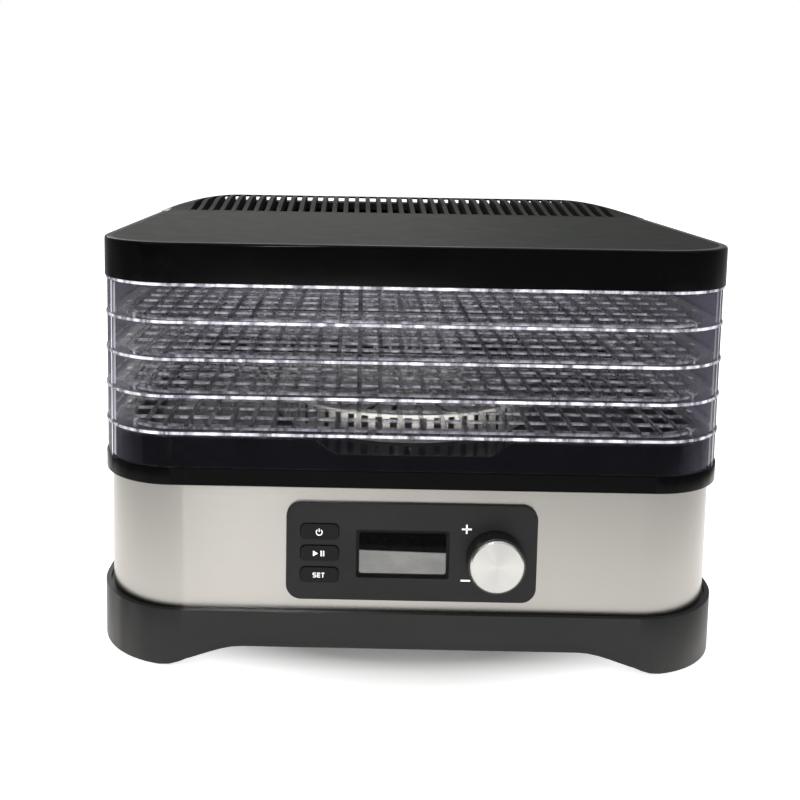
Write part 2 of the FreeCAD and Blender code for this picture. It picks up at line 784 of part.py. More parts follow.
def make_top_deck():
    """The black deck: rim band, plate with the fan opening, upstand for the lowest tray, posts."""
    body = new_body("top_deck")
    upstand_outer = "(rim_width - tray_width) / 2 + lip_inset"
    upstand_inner = f"{upstand_outer} + upstand_wall"
    plate_of_outline(body, "rim", "rim", "0", "rim_bottom", "rim_top")
    hollow_of_outline(body, "under", "rim", "rim_wall", "rim_bottom", "deck_under")
    hollow_of_outline(body, "well", "rim", upstand_inner, "deck_top", "rim_top")
    ring_of_outline(
        body, "upstand", "rim", upstand_outer, upstand_inner, "deck_top", "rim_top + upstand_height"
    )
    dip = new_sketch(body, "dip", "XZ_Plane", "rim_depth / 2")
    top = "rim_top + upstand_height + 1"
    reach = "dip_half_top + (dip_half_top - dip_half_bottom) / (upstand_height - dip_floor)"
    draw_polygon(
        dip,
        [
            ("-dip_half_bottom", "rim_top + dip_floor"),
            ("dip_half_bottom", "rim_top + dip_floor"),
            (reach, top),
            (f"-({reach})", top),
        ],
    )
    cut(body, dip, "rim_depth")
    drill(body, "fan_opening", [("0", "0")], "duct_radius", "deck_under", "deck_top")
    guide_outer = "steel_thickness + steel_guide_gap"
    ring_of_outline(
        body, "guide", "steel", guide_outer, f"{guide_outer} + steel_guide_wall",
        "deck_under - steel_guide_depth", "deck_under",
    )
    posts = four_corners("post_x", "post_y")
    cylinders(body, "posts", posts, "post_radius", "flange_top", "deck_under")
    hole_top = "flange_top + screw_grip + post_hole_spare"
    drill(body, "post_holes", posts, "screw_radius + screw_clearance", "flange_top", hole_top)
    duct_screws = four_corners("duct_screw_circle * sqrt(0.5)", "duct_screw_circle * sqrt(0.5)")
    drill(body, "duct_holes", duct_screws, "screw_radius + screw_clearance", "deck_under", "deck_top")
    return body


def make_steel_housing():
    """The stainless wrap, open at the top and bottom, with openings for the panel and the inlet."""
    body = new_body("steel_housing")
    ring_of_outline(body, "wrap", "steel", "0", "steel_thickness", "steel_bottom", "deck_under")
    window(
        body, "panel_opening", "0", "fascia_middle",
        "fascia_width - 2 * steel_opening_margin", "fascia_height - 2 * steel_opening_margin",
        "steel_front + 1", "steel_front - 2 * steel_thickness", "fascia_radius - steel_opening_margin",
    )
    bore(
        body, "inlet_opening", "inlet_x", "inlet_z", "inlet_barrel + inlet_clearance",
        "-steel_front + 2 * steel_thickness", "-steel_front - 1",
    )
    return body


def arch_polygon(half_top, half_foot, height):
    """A flat arch whose ends sweep down to the feet in an S curve."""
    curve = []
    for step in range(9):
        share = step / 8
        smooth = share * share * (3 - 2 * share)
        curve.append((share, f"skirt_bottom + {1 - smooth} * ({height} - skirt_bottom)"))
    right = [(f"{half_top} + {share} * ({half_foot} - {half_top})", z) for share, z in curve]
    left = [(f"-({x})", z) for x, z in right[::-1]]
    return left + right + [(half_foot, "skirt_bottom - 1"), (f"-{half_foot}", "skirt_bottom - 1")]


def cut_arches(body, name, height):
    """Cuts the arches between the feet, through the front and back and through both sides."""
    across = new_sketch(body, name + "_front", "XZ_Plane", "skirt_depth / 2 + 1")
    draw_polygon(across, arch_polygon("arch_half_top_front", "arch_half_foot_front", height))
    cut(body, across, "skirt_depth + 2")
    along = new_sketch(body, name + "_side", "YZ_Plane", "skirt_width / 2 + 1")
    draw_polygon(along, arch_polygon("arch_half_top_side", "arch_half_foot_side", height))
    cut(body, along, "skirt_width + 2")


def make_base_skirt():
    """The dark skirt with its four corner lobes, arches, foot posts and the flange for the floor."""
    body = new_body("base_skirt")
    ring_of_outline(body, "outside", "skirt", "0", "skirt_wall", "skirt_bottom", "skirt_top")
    cut_arches(body, "outer_arch", "arch_height + arch_shadow")
    inner = "skirt_wall + skirt_inner_wall"
    ring_of_outline(
        body, "inside", "skirt", "skirt_wall - 0.01", inner, "skirt_bottom", "steel_bottom"
    )
    cut_arches(body, "inner_arch", "arch_height")
    ring_of_outline(
        body, "flange", "skirt", f"{inner} - 0.01", f"{inner} + floor_flange", "floor_top", "flange_top"
    )
    feet = four_corners("foot_x", "foot_y")
    cylinders(body, "foot_posts", feet, "foot_post_radius", "skirt_bottom", "flange_top")
    drill(body, "foot_recess", feet, "foot_radius", "skirt_bottom", "skirt_bottom + foot_recess")
    posts = four_corners("post_x", "post_y")
    cylinders(body, "screw_pads", posts, "post_radius", "floor_top", "flange_top")
    drill(body, "screw_holes", posts, "screw_radius + screw_clearance", "floor_top", "flange_top")
    return body


def make_bottom_plate():
    """The floor of the base, with air slots under the fan and standoffs for the power board."""
    body = new_body("bottom_plate")
    plate_of_outline(body, "plate", "skirt", "floor_inset", "floor_level", "floor_top")
    drill(
        body, "foot_notches", four_corners("foot_x", "foot_y"), "foot_post_radius + floor_clearance",
        "floor_level", "floor_top",
    )
    drill(
        body, "screw_holes", four_corners("post_x", "post_y"), "screw_radius + screw_clearance",
        "floor_level", "floor_top",
    )
    slot = new_sketch(body, "slot", "XY_Plane", "floor_level")
    first = "-intake_pitch * (intake_count - 1) / 2"
    draw_rounded_box(slot, "intake_slot_width", "intake_slot_length", "intake_slot_width / 2.2", first, "0")
    slot_cut = cut(body, slot, "floor_thickness", forwards=True)
    repeat(body, [slot_cut], "X_Axis", "intake_pitch * (intake_count - 1)", "intake_count")
    reach_x, reach_y = "(power_width / 2 - standoff_inset)", "(power_depth / 2 - standoff_inset)"
    standoffs = [
        (f"power_x + {i} * {reach_x}", f"power_y + {j} * {reach_y}") for i in (-1, 1) for j in (-1, 1)
    ]
    cylinders(body, "standoffs", standoffs, "standoff_radius", "floor_top", "power_level")
    return body


def make_rubber_feet():
    body = new_body("rubber_feet")
    cylinders(
        body, "pads", four_corners("foot_x", "foot_y"), "foot_radius - screw_clearance",
        "0", "skirt_bottom + foot_recess",
    )
    return body


def make_base_screws():
    """Four screws that clamp the floor and the skirt to the deck's posts."""
    body = new_body("base_screws")
    spots = four_corners("post_x", "post_y")
    cylinders(body, "heads", spots, "screw_head_radius", "floor_level - screw_head", "floor_level")
    cylinders(body, "shanks", spots, "screw_radius", "floor_level", "flange_top + screw_grip")
    return body


# ---------------------------------------------------------------- air path


def make_fan_duct():
    body = new_body("fan_duct")
    tube = [("0", "0")]
    cylinders(body, "tube", tube, "duct_radius + duct_wall", "duct_bottom", "deck_under")
    cylinders(
        body, "flange", tube, "duct_flange_radius", "deck_under - duct_flange_thickness", "deck_under"
    )
    drill(body, "air_way", tube, "duct_radius", "duct_bottom", "deck_under")
    duct_screws = four_corners("duct_screw_circle * sqrt(0.5)", "duct_screw_circle * sqrt(0.5)")
    drill(
        body, "screw_holes", duct_screws, "screw_radius + screw_clearance",
        "deck_under - duct_flange_thickness", "deck_under",
    )
    return body


def make_duct_screws():
    body = new_body("duct_screws")
    spots = four_corners("duct_screw_circle * sqrt(0.5)", "duct_screw_circle * sqrt(0.5)")
    flange_under = "deck_under - duct_flange_thickness"
    cylinders(body, "heads", spots, "screw_head_radius", f"{flange_under} - screw_head", flange_under)
    cylinders(body, "shanks", spots, "screw_radius", flange_under, "deck_top - duct_screw_tip")
    return body


def make_fan_guard():
    """The pale round cage over the fan: upright bars round it and spokes across its top."""
    body = new_body("fan_guard")
    middle = [("0", "0")]
    top = "deck_top + guard_height"
    cylinders(body, "drum", middle, "guard_radius", "deck_top", top)
    drill(body, "inside", middle, "guard_radius - guard_wall", "deck_top", f"{top} - guard_top")
    side_slot = new_sketch(body, "side_slot", "YZ_Plane", "guard_radius - 4 * guard_wall")
    slot_height = "guard_height - guard_top - guard_foot"
    draw_box(side_slot, "0", f"deck_top + guard_foot + ({slot_height}) / 2", "guard_slot_width", slot_height)
    side_cut = cut(body, side_slot, "5 * guard_wall", forwards=True)
    repeat_round(body, [side_cut], "guard_bar_count")
    spoke_slot = new_sketch(body, "spoke_slot", "XY_Plane", f"{top} - guard_top")
    reach = "guard_radius - 3 * guard_wall"
    start = "guard_hub_radius + guard_hub_rim"
    draw_box(spoke_slot, f"({start} + {reach}) / 2", "0", f"{reach} - ({start})", "guard_spoke_slot")
    spoke_cut = cut(body, spoke_slot, "guard_top", forwards=True)
    repeat_round(body, [spoke_cut], "guard_spoke_count")
    return body


def make_fan_impeller():
    body = new_body("fan_impeller")
    middle = [("0", "0")]
    top = "fan_level + fan_height"
    cylinders(body, "hub", middle, "fan_hub_radius", "fan_level", top)
    cup_top = f"{top} - fan_hub_top"
    drill(body, "cup", middle, "fan_hub_radius - fan_hub_wall", "fan_level", cup_top)
    cylinders(body, "boss", middle, "shaft_radius + fan_boss_wall", "fan_level", cup_top)
    drill(body, "bore", middle, "shaft_radius + shaft_clearance", "fan_level", cup_top)
    blade = new_sketch(body, "blade", "YZ_Plane", "fan_hub_radius - fan_hub_wall / 2")
    along_y = "fan_blade_chord / 2 * cos(fan_blade_tilt * 1 deg)"
    along_z = "fan_blade_chord / 2 * sin(fan_blade_tilt * 1 deg)"
    rise = "fan_blade_thickness / cos(fan_blade_tilt * 1 deg)"
    level = "fan_level + fan_height / 2"
    draw_polygon(
        blade,
        [
            (f"-{along_y}", f"{level} - {along_z} - {rise} / 2"),
            (along_y, f"{level} + {along_z} - {rise} / 2"),
            (along_y, f"{level} + {along_z} + {rise} / 2"),
            (f"-{along_y}", f"{level} - {along_z} + {rise} / 2"),
        ],
    )
    blade_pad = pad(body, blade, "fan_radius - fan_hub_radius - fan_hub_wall")
    repeat_round(body, [blade_pad], "fan_blade_count")
    return body


def make_fan_shaft():
    body = new_body("fan_shaft")
    top = "fan_level + fan_height - fan_hub_top"
    cylinders(body, "rod", [("0", "0")], "shaft_radius", "motor_bottom + motor_floor", top)
    return body


def make_fan_motor():
    body = new_body("fan_motor")
    middle = [("0", "0")]
    cylinders(body, "can", middle, "motor_radius", "motor_bottom", "bracket_bottom")
    nose_top = "bracket_bottom + bracket_thickness + 1"
    cylinders(body, "nose", middle, "shaft_radius + motor_nose_wall", "bracket_bottom", nose_top)
    floor = "motor_bottom + motor_floor - motor_fit"
    drill(body, "bearing", middle, "shaft_radius + shaft_clearance", floor, nose_top)
    return body


def make_motor_bracket():
    """A cross of flat arms under the duct, with a hub that the motor hangs from."""
    body = new_body("motor_bracket")
    middle = [("0", "0")]
    cylinders(body, "hub", middle, "motor_radius + bracket_hub_rim", "bracket_bottom", "duct_bottom")
    arms = new_sketch(body, "arms", "XY_Plane", "bracket_bottom")
    draw_box(arms, "0", "0", "2 * (duct_radius + duct_wall)", "bracket_arm_width")
    pad(body, arms, "bracket_thickness")
    cross = new_sketch(body, "cross", "XY_Plane", "bracket_bottom")
    draw_box(cross, "0", "0", "bracket_arm_width", "2 * (duct_radius + duct_wall)")
    pad(body, cross, "bracket_thickness")
    nose_hole = "shaft_radius + motor_nose_wall + motor_fit"
    drill(body, "nose_hole", middle, nose_hole, "bracket_bottom", "duct_bottom")
    return body


def make_torus(label, ring_radius, coil_radius):
    ring = doc.addObject("Part::Torus", label)
    ring.Label = label
    ring.setExpression("Radius1", expression(ring_radius))
    ring.setExpression("Radius2", expression(coil_radius))
    ring.setExpression("Placement.Base.z", expression("heater_level"))
    return ring


def make_heating_element():
    """Two rings of coiled resistance wire, each the coil's outer shape."""
    element = doc.addObject("Part::Compound", "heating_element")
    element.Label = "heating_element"
    element.Links = [
        make_torus("outer_coil", "heater_outer_radius", "heater_coil_radius"),
        make_torus("inner_coil", "heater_inner_radius", "heater_coil_radius"),
    ]
    return element


def make_heater_frame():
    """Two crossed mica plates with round gaps that the coils pass through."""
    plates = []
    length = "2 * (duct_radius - mica_clearance)"
    for name, x_size, y_size in (("mica_x", length, "mica_thickness"), ("mica_y", "mica_thickness", length)):
        plate = doc.addObject("Part::Box", name)
        plate.setExpression("Length", expression(x_size))
        plate.setExpression("Width", expression(y_size))
        plate.setExpression("Height", expression("mica_height"))
        plate.setExpression("Placement.Base.x", expression(f"-({x_size}) / 2"))
        plate.setExpression("Placement.Base.y", expression(f"-({y_size}) / 2"))
        plate.setExpression("Placement.Base.z", expression("heater_level - mica_height / 2"))
        plates.append(plate)
    cross = doc.addObject("Part::MultiFuse", "mica_cross")
    cross.Shapes = plates
    gaps = doc.addObject("Part::Compound", "coil_gaps")
    gap_radius = "heater_coil_radius + heater_coil_clearance"
    gaps.Links = [
        make_torus("outer_gap", "heater_outer_radius", gap_radius),
        make_torus("inner_gap", "heater_inner_radius", gap_radius),
    ]
    frame = doc.addObject("Part::Cut", "heater_frame")
    frame.Base = cross
    frame.Tool = gaps
    frame.Label = "heater_frame"
    return frame


def make_thermal_fuse():
    """A small fuse that lies against one mica plate."""
    fuse = doc.addObject("Part::Cylinder", "thermal_fuse")
    fuse.Label = "thermal_fuse"
    fuse.setExpression("Radius", expression("fuse_radius"))
    fuse.setExpression("Height", expression("fuse_length"))
    fuse.Placement.Rotation = FreeCAD.Rotation(FreeCAD.Vector(0, 1, 0), 90)
    fuse.setExpression("Placement.Base.x", expression("heater_inner_radius / 3"))
    fuse.setExpression("Placement.Base.y", expression("mica_thickness / 2 + fuse_radius + motor_fit"))
    fuse.setExpression("Placement.Base.z", expression("heater_level"))
    return fuse


def make_temperature_sensor():
    body = new_body("temperature_sensor")
    spot = [("sensor_x", "sensor_y")]
    cylinders(body, "probe", spot, "sensor_radius", "deck_top", "deck_top + sensor_height")
    return body


# ---------------------------------------------------------------- control panel


BUTTONS = {"button_power": 1, "button_play_pause": 0, "button_set": -1}


def button_height_of(step):
    return f"button_middle + {step} * button_pitch"


def make_control_panel():
    """The fascia: a rounded plate on the steel with a collar through the opening behind it."""
    body = new_body("control_panel")
    block(
        body, "plate", "0", "fascia_middle", "fascia_width", "fascia_height",
        "fascia_front", "steel_front", "fascia_radius",
    )
    shrink = "2 * (steel_opening_margin + collar_clearance)"
    collar_radius = "fascia_radius - steel_opening_margin - collar_clearance"
    collar = new_sketch(body, "collar", "XZ_Plane", "steel_front - fascia_collar_depth")
    draw_rounded_box(
        collar, f"fascia_width - {shrink}", f"fascia_height - {shrink}", collar_radius, "0", "fascia_middle"
    )
    shrink_inside = f"({shrink} + 2 * fascia_collar)"
    draw_rounded_box(
        collar, f"fascia_width - {shrink_inside}", f"fascia_height - {shrink_inside}",
        f"{collar_radius} - fascia_collar", "0", "fascia_middle",
    )
    pad(body, collar, "fascia_collar_depth")
    for name, step in BUTTONS.items():
        window(
            body, name + "_hole", "button_x", button_height_of(step),
            "button_width + 2 * button_gap", "button_height + 2 * button_gap",
            "fascia_front", "steel_front", "button_radius + button_gap",
        )
    window(
        body, "window_recess", "window_x", "window_middle",
        "window_width + 2 * window_clearance", "window_height + 2 * window_clearance",
        "fascia_front", "fascia_front - window_thickness + window_proud", "window_radius + window_clearance",
    )
    window(
        body, "window_opening", "window_x", "window_middle",
        "window_width - 2 * window_ledge", "window_height - 2 * window_ledge",
        "fascia_front", "steel_front", "window_radius",
    )
    bore(
        body, "encoder_hole", "knob_x", "knob_middle", "encoder_bush_radius + button_gap",
        "fascia_front", "steel_front",
    )
    bosses = new_sketch(body, "bosses", "XZ_Plane", "board_front")
    for i in (-1, 1):
        for j in (-1, 1):
            draw_circle(
                bosses, f"{i} * board_screw_x", f"fascia_middle + {j} * board_screw_z", "board_boss_radius"
            )
    pad(body, bosses, "steel_front - board_front")
    holes = new_sketch(body, "boss_holes", "XZ_Plane", "board_front")
    for i in (-1, 1):
        for j in (-1, 1):
            spot_z = f"fascia_middle + {j} * board_screw_z"
            draw_circle(holes, f"{i} * board_screw_x", spot_z, "board_screw_radius + screw_clearance")
    cut(body, holes, "steel_front - board_front - board_boss_face", forwards=True)
    front, half_width = -number("fascia_front"), number("fascia_width / 2")
    middle, half_height = number("fascia_middle"), number("fascia_height / 2")

    def on_rim(edge):
        return all(
            abs(vertex.Y - front) < 0.01
            and (
                abs(abs(vertex.X) - half_width) < 0.01
                or abs(abs(vertex.Z - middle) - half_height) < 0.01
            )
            for vertex in edge.Vertexes
        )

    round_edges(body, on_rim, "fascia_edge_round")
    return body


def make_lcd_window():
    body = new_body("lcd_window")
    block(
        body, "plate", "window_x", "window_middle", "window_width", "window_height",
        "fascia_front + window_proud", "fascia_front + window_proud - window_thickness", "window_radius",
    )
    return body


def make_lcd_module():
    body = new_body("lcd_module")
    block(
        body, "glass", "window_x", "window_middle",
        "window_width + 2 * lcd_border", "window_height + 2 * lcd_border",
        "steel_front - lcd_gap", "board_front",
    )
    return body


def make_button(label, step):
    """A push button: a cap in the fascia with a wider flange behind it that holds it in."""
    body = new_body(label)
    flange_front = "steel_front - button_gap"
    block(
        body, "cap", "button_x", button_height_of(step), "button_width", "button_height",
        "fascia_front + button_proud", flange_front, "button_radius",
    )
    block(
        body, "flange", "button_x", button_height_of(step),
        "button_width + 2 * button_flange", "button_height + 2 * button_flange",
        flange_front, f"{flange_front} - button_flange_thickness", "button_radius + button_flange",
    )
    front = -number("fascia_front + button_proud")

    def on_front(edge):
        return all(abs(vertex.Y - front) < 0.01 for vertex in edge.Vertexes)

    round_edges(body, on_front, "button_edge_round")
    return body


def make_button_switches():
    """Three tact switches on the control board, one behind each button."""
    body = new_body("button_switches")
    cases = new_sketch(body, "cases", "XZ_Plane", "board_front")
    for step in BUTTONS.values():
        draw_box(cases, "button_x", button_height_of(step), "switch_side", "switch_side")
    pad(body, cases, "switch_body")
    stems = new_sketch(body, "stems", "XZ_Plane", "board_front + switch_body")
    for step in BUTTONS.values():
        draw_circle(stems, "button_x", button_height_of(step), "switch_stem_radius")
    pad(body, stems, "switch_stem")
    return body


def make_control_board():
    body = new_body("control_board")
    block(
        body, "board", "0", "fascia_middle", "board_width", "board_height", "board_front", "board_back"
    )
    holes = new_sketch(body, "holes", "XZ_Plane", "board_back")
    for i in (-1, 1):
        for j in (-1, 1):
            spot_z = f"fascia_middle + {j} * board_screw_z"
            draw_circle(holes, f"{i} * board_screw_x", spot_z, "board_screw_radius + screw_clearance")
    cut(body, holes, "board_thickness", forwards=True)
    return body


def make_board_screws():
    body = new_body("board_screws")
    heads = new_sketch(body, "heads", "XZ_Plane", "board_back - screw_head")
    shanks = new_sketch(body, "shanks", "XZ_Plane", "board_back")
    for i in (-1, 1):
        for j in (-1, 1):
            spot_x, spot_z = f"{i} * board_screw_x", f"fascia_middle + {j} * board_screw_z"
            draw_circle(heads, spot_x, spot_z, "board_boss_radius")
            draw_circle(shanks, spot_x, spot_z, "board_screw_radius")
    pad(body, heads, "screw_head")
    pad(body, shanks, "steel_front - board_back - board_screw_spare")
    return body


def make_encoder_body():
    """The rotary encoder: its case on the board and the bush that its shaft turns in."""
    body = new_body("encoder_body")
    case_front = "board_front + encoder_depth"
    block(
        body, "case", "knob_x", "knob_middle", "encoder_side", "encoder_side", case_front, "board_front"
    )
    rod(
        body, "bush", "knob_x", "knob_middle", "encoder_bush_radius",
        f"{case_front} + encoder_bush_length", case_front,
    )
    bore(
        body, "bush_bore", "knob_x", "knob_middle", "shaft_radius + shaft_clearance",
        f"{case_front} + encoder_bush_length", "board_front + encoder_bore_floor",
    )
    return body


def make_encoder_shaft():
    body = new_body("encoder_shaft")
    start = "board_front + encoder_bore_floor + encoder_end_gap"
    rod(body, "rod", "knob_x", "knob_middle", "shaft_radius", f"{start} + encoder_shaft_length", start)
    return body


def make_knob_body():
    """The black knob: a cup with a boss that grips the encoder's shaft."""
    body = new_body("knob_body")
    back = "fascia_front + knob_gap"
    rod(body, "barrel", "knob_x", "knob_middle", "knob_radius", "knob_front", back)
    bore(
        body, "inside", "knob_x", "knob_middle", "knob_radius - knob_skin", "knob_front - knob_face", back
    )
    shaft_end = "board_front + encoder_bore_floor + encoder_end_gap + encoder_shaft_length"
    bush_end = "board_front + encoder_depth + encoder_bush_length"
    rod(
        body, "boss", "knob_x", "knob_middle", "shaft_radius + knob_boss_wall",
        "knob_front - knob_face / 2", f"{bush_end} + knob_boss_gap",
    )
    bore(
        body, "shaft_hole", "knob_x", "knob_middle", "shaft_radius + shaft_clearance",
        f"{shaft_end} + encoder_end_gap", f"{bush_end} + knob_boss_gap / 2",
    )
    front = -number("knob_front")

    def on_front(edge):
        return all(abs(vertex.Y - front) < 0.01 for vertex in edge.Vertexes)

    round_edges(body, on_front, "cap_bevel")
    return body


def make_knob_cap():
    """The spun aluminium disc on the front of the knob."""
    body = new_body("knob_cap")
    rod(
        body, "disc", "knob_x", "knob_middle", "cap_radius", "knob_front + cap_thickness", "knob_front"
    )
    front = -number("knob_front + cap_thickness")

    def on_front(edge):
        return all(abs(vertex.Y - front) < 0.01 for vertex in edge.Vertexes)

    dress_edges(body, "Chamfer", on_front, "cap_bevel", "Size")
    return body


# ---------------------------------------------------------------- power electronics


def upright_box(label, x, y, width, depth, low, high):
    body = new_body(label)
    sketch = new_sketch(body, "plan", "XY_Plane", low)
    draw_box(sketch, x, y, width, depth)
    pad(body, sketch, f"{high} - ({low})")
    return body


def make_power_parts():
    board_top = "power_level + board_thickness"
    capacitor = new_body("filter_capacitor")
    cylinders(
        capacitor, "can", [("power_x - power_width / 4", "power_y")], "capacitor_radius",
        board_top, f"{board_top} + capacitor_height",
    )
    return [
        upright_box(
            "power_board", "power_x", "power_y", "power_width", "power_depth", "power_level", board_top
        ),
        upright_box(
            "heater_relay", "power_x + power_width / 4", "power_y", "relay_width", "relay_depth",
            board_top, f"{board_top} + relay_height",
        ),
        capacitor,
        upright_box(
            "terminal_block", "power_x", "power_y + power_depth / 2 - terminal_depth / 2",
            "terminal_width", "terminal_depth", board_top, f"{board_top} + terminal_height",
        ),
    ]


def make_ribbon_cable():
    """The flat cable from the control board down, along the floor and up to the power board."""
    body = new_body("ribbon_cable")
    strip = new_sketch(body, "strip", "YZ_Plane", "ribbon_x - ribbon_width / 2")
    top = "fascia_middle - board_height / 2 + ribbon_rise"
    low = "flange_top + ribbon_lift"
    front = "-board_back"
    bend = f"{front} + ribbon_run"
    board_edge = "power_y - power_depth / 2 - ribbon_end_gap"
    end = f"{board_edge} - ribbon_end_run"
    draw_polygon(
        strip,
        [
            (front, top),
            (bend, top),
            (bend, f"{low} + ribbon_thickness"),
            (end, f"{low} + ribbon_thickness"),
            (end, "power_level + board_thickness"),
            (board_edge, "power_level + board_thickness"),
            (board_edge, "power_level"),
            (f"{end} + ribbon_thickness", "power_level"),
            (f"{end} + ribbon_thickness", low),
            (f"{bend} - ribbon_thickness", low),
            (f"{bend} - ribbon_thickness", f"{top} - ribbon_thickness"),
            (front, f"{top} - ribbon_thickness"),
        ],
    )
    pad(body, strip, "ribbon_width")
    return body


def make_cord_inlet():
    """The bushing in the back wall that the mains lead goes through, with its nut inside."""
    body = new_body("cord_inlet")
    spot = ("inlet_x", "inlet_z")
    back = "-steel_front"
    tail = f"{back} - inlet_flange_length - inlet_nose_length"
    inside = f"{back} + steel_thickness + inlet_nut_length"
    rod(body, "flange", *spot, "inlet_flange", back, f"{back} - inlet_flange_length")
    rod(body, "nose", *spot, "inlet_nose", f"{back} - inlet_flange_length", tail)
    rod(body, "barrel", *spot, "inlet_barrel", inside, back)
    rod(body, "nut", *spot, "inlet_nut", inside, f"{back} + steel_thickness")
    bore(body, "lead_hole", *spot, "inlet_bore", inside, tail)
    return body


# ---------------------------------------------------------------- assembly and export


def make_all():
    nodes = [make_lid_frame(), make_lid_panel()]
    nodes += make_trays()
    nodes += [
        make_top_deck(),
        make_steel_housing(),
        make_base_skirt(),
        make_bottom_plate(),
        make_rubber_feet(),
        make_base_screws(),
        make_fan_duct(),
        make_duct_screws(),
        make_fan_guard(),
        make_fan_impeller(),
        make_fan_shaft(),
        make_fan_motor(),
        make_motor_bracket(),
        make_heating_element(),
        make_heater_frame(),
        make_thermal_fuse(),
        make_temperature_sensor(),
        make_control_panel(),
        make_lcd_window(),
        make_lcd_module(),
    ]
    nodes += [make_button(label, step) for label, step in BUTTONS.items()]
    nodes += [
        make_button_switches(),
        make_control_board(),
        make_board_screws(),
        make_encoder_body(),
        make_encoder_shaft(),
        make_knob_body(),
        make_knob_cap(),
        make_ribbon_cable(),
        make_cord_inlet(),
    ]
    return nodes + make_power_parts()


def check_objects():
    failed = [item.Name for item in doc.Objects if {"Invalid", "Error"} & set(item.State)]
    if failed:
        raise RuntimeError("these objects did not build: " + ", ".join(failed))


def export(nodes):
    os.makedirs("parts", exist_ok=True)
    for original in {node.getLinkedObject().Name: node.getLinkedObject() for node in nodes}.values():
        shape = Part.getShape(original)
        if shape.isNull() or not shape.isValid() or not shape.Solids:
            raise RuntimeError("bad shape: " + original.Label)
    for node in nodes:
        shape = Part.getShape(node)
        shape.exportStep(os.path.join("parts", node.Label + ".step"))
        print(node.Label, "solids", len(shape.Solids), "volume", round(shape.Volume / 1000, 2), "cm3")


all_nodes = make_all()
doc.recompute()
check_objects()
export(all_nodes)
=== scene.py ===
import json
import math

import bmesh
import bpy
from mathutils import Matrix, Vector


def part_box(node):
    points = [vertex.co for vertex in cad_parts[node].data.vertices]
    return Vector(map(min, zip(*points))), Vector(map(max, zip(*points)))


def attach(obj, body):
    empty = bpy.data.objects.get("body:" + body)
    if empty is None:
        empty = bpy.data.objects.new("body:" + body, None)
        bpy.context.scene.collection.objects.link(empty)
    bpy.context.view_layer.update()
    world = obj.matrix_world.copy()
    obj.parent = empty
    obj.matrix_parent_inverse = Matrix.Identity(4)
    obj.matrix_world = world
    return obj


# The food dehydrator's looks: materials for every sub-part, small printed marks, light and camera.
# Everything is in metres, in the frame of the model: +Z up, the front faces -Y.

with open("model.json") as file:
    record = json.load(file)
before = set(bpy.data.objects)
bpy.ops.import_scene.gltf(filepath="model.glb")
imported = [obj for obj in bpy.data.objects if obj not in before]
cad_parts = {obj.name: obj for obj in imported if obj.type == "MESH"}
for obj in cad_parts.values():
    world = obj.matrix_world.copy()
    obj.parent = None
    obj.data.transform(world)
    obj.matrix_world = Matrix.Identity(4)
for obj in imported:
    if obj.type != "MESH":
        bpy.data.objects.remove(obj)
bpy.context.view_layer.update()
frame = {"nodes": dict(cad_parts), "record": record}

MM = 0.001

# The lid, for the camera's place, and the pitch and bar width of the trays' mesh floors.
LID_HEIGHT = 23.5 * MM
LID_DEPTH = 320.0 * MM
MESH_COLUMN = 12.9 * MM
MESH_ROW = 20.6 * MM
MESH_BAR = 2.9 * MM

# Painted highlights: a whitish band at the top of each tray's wall, and whitish dots at every second cross
# bar of the mesh.
TRAY_LEDGE_HIGHLIGHT = 1.8 * MM
HIGHLIGHT_DOT_LENGTH = MESH_BAR * 2.4

# Studio colours. Seen through clear plastic, the floor and the room are a dim violet-grey: painted shade
# for the dark inside of the tray stack.
LIGHT_COLOUR = (1.0, 0.99, 0.97)
ROOM_WHITE = (1.0, 1.0, 1.0)
ROOM_SHADE_THROUGH_PLASTIC = (0.030, 0.028, 0.040)
FLOOR_SHADE_THROUGH_PLASTIC = (0.045, 0.042, 0.058)
FLOOR_GLOW_SHADE_THROUGH_PLASTIC = (0.008, 0.0075, 0.011)
FLOOR_SIZE = 60.0


# ---------------------------------------------------------------- node helpers


def new_material(name):
    """A material with one Principled shader. Returns its node tree and the shader."""
    material = bpy.data.materials.new(name)
    material.use_nodes = True
    return material, material.node_tree, material.node_tree.nodes["Principled BSDF"]


def set_inputs(node, values):
    """Sets a node's unlinked inputs by name."""
    for name, value in values.items():
        node.inputs[name].default_value = value


def add_node(tree, kind, settings=None, values=None):
    """Adds a shader node: settings are its own properties, values its inputs."""
    node = tree.nodes.new("ShaderNode" + kind)
    for name, value in (settings or {}).items():
        setattr(node, name, value)
    set_inputs(node, values or {})
    return node


def object_place(tree, stretch=(1, 1, 1)):
    """The object's own coordinates in metres, each axis multiplied by its stretch."""
    place = add_node(tree, "TexCoord")
    mapping = add_node(tree, "Mapping", values={"Scale": stretch})
    tree.links.new(place.outputs["Object"], mapping.inputs["Vector"])
    return mapping.outputs["Vector"]


def noise(tree, scale, stretch=(1, 1, 1), detail=3.0):
    """A noise value with about scale times stretch features to the metre along each axis."""
    texture = add_node(tree, "TexNoise", values={"Scale": scale, "Detail": detail, "Roughness": 0.6})
    tree.links.new(object_place(tree, stretch), texture.inputs["Vector"])
    return texture.outputs["Fac"]


def spread(tree, source, low, high, start=0.3, end=0.7):
    """Maps a value that runs from start to end to the range from low to high, and holds it there."""
    ends = {"From Min": start, "From Max": end, "To Min": low, "To Max": high}
    node = add_node(tree, "MapRange", values=ends)
    tree.links.new(source, node.inputs["Value"])
    return node.outputs["Result"]


def blend_colours(tree, factor, first, second):
    """Mixes two colours, each a tuple or another node's output: 0 gives the first, 1 the second."""
    node = add_node(tree, "Mix", {"data_type": "RGBA"})
    for socket, colour in ((node.inputs[6], first), (node.inputs[7], second)):
        if isinstance(colour, tuple):
            socket.default_value = (*colour, 1.0)
        else:
            tree.links.new(colour, socket)
    tree.links.new(factor, node.inputs["Factor"])
    return node.outputs[2]


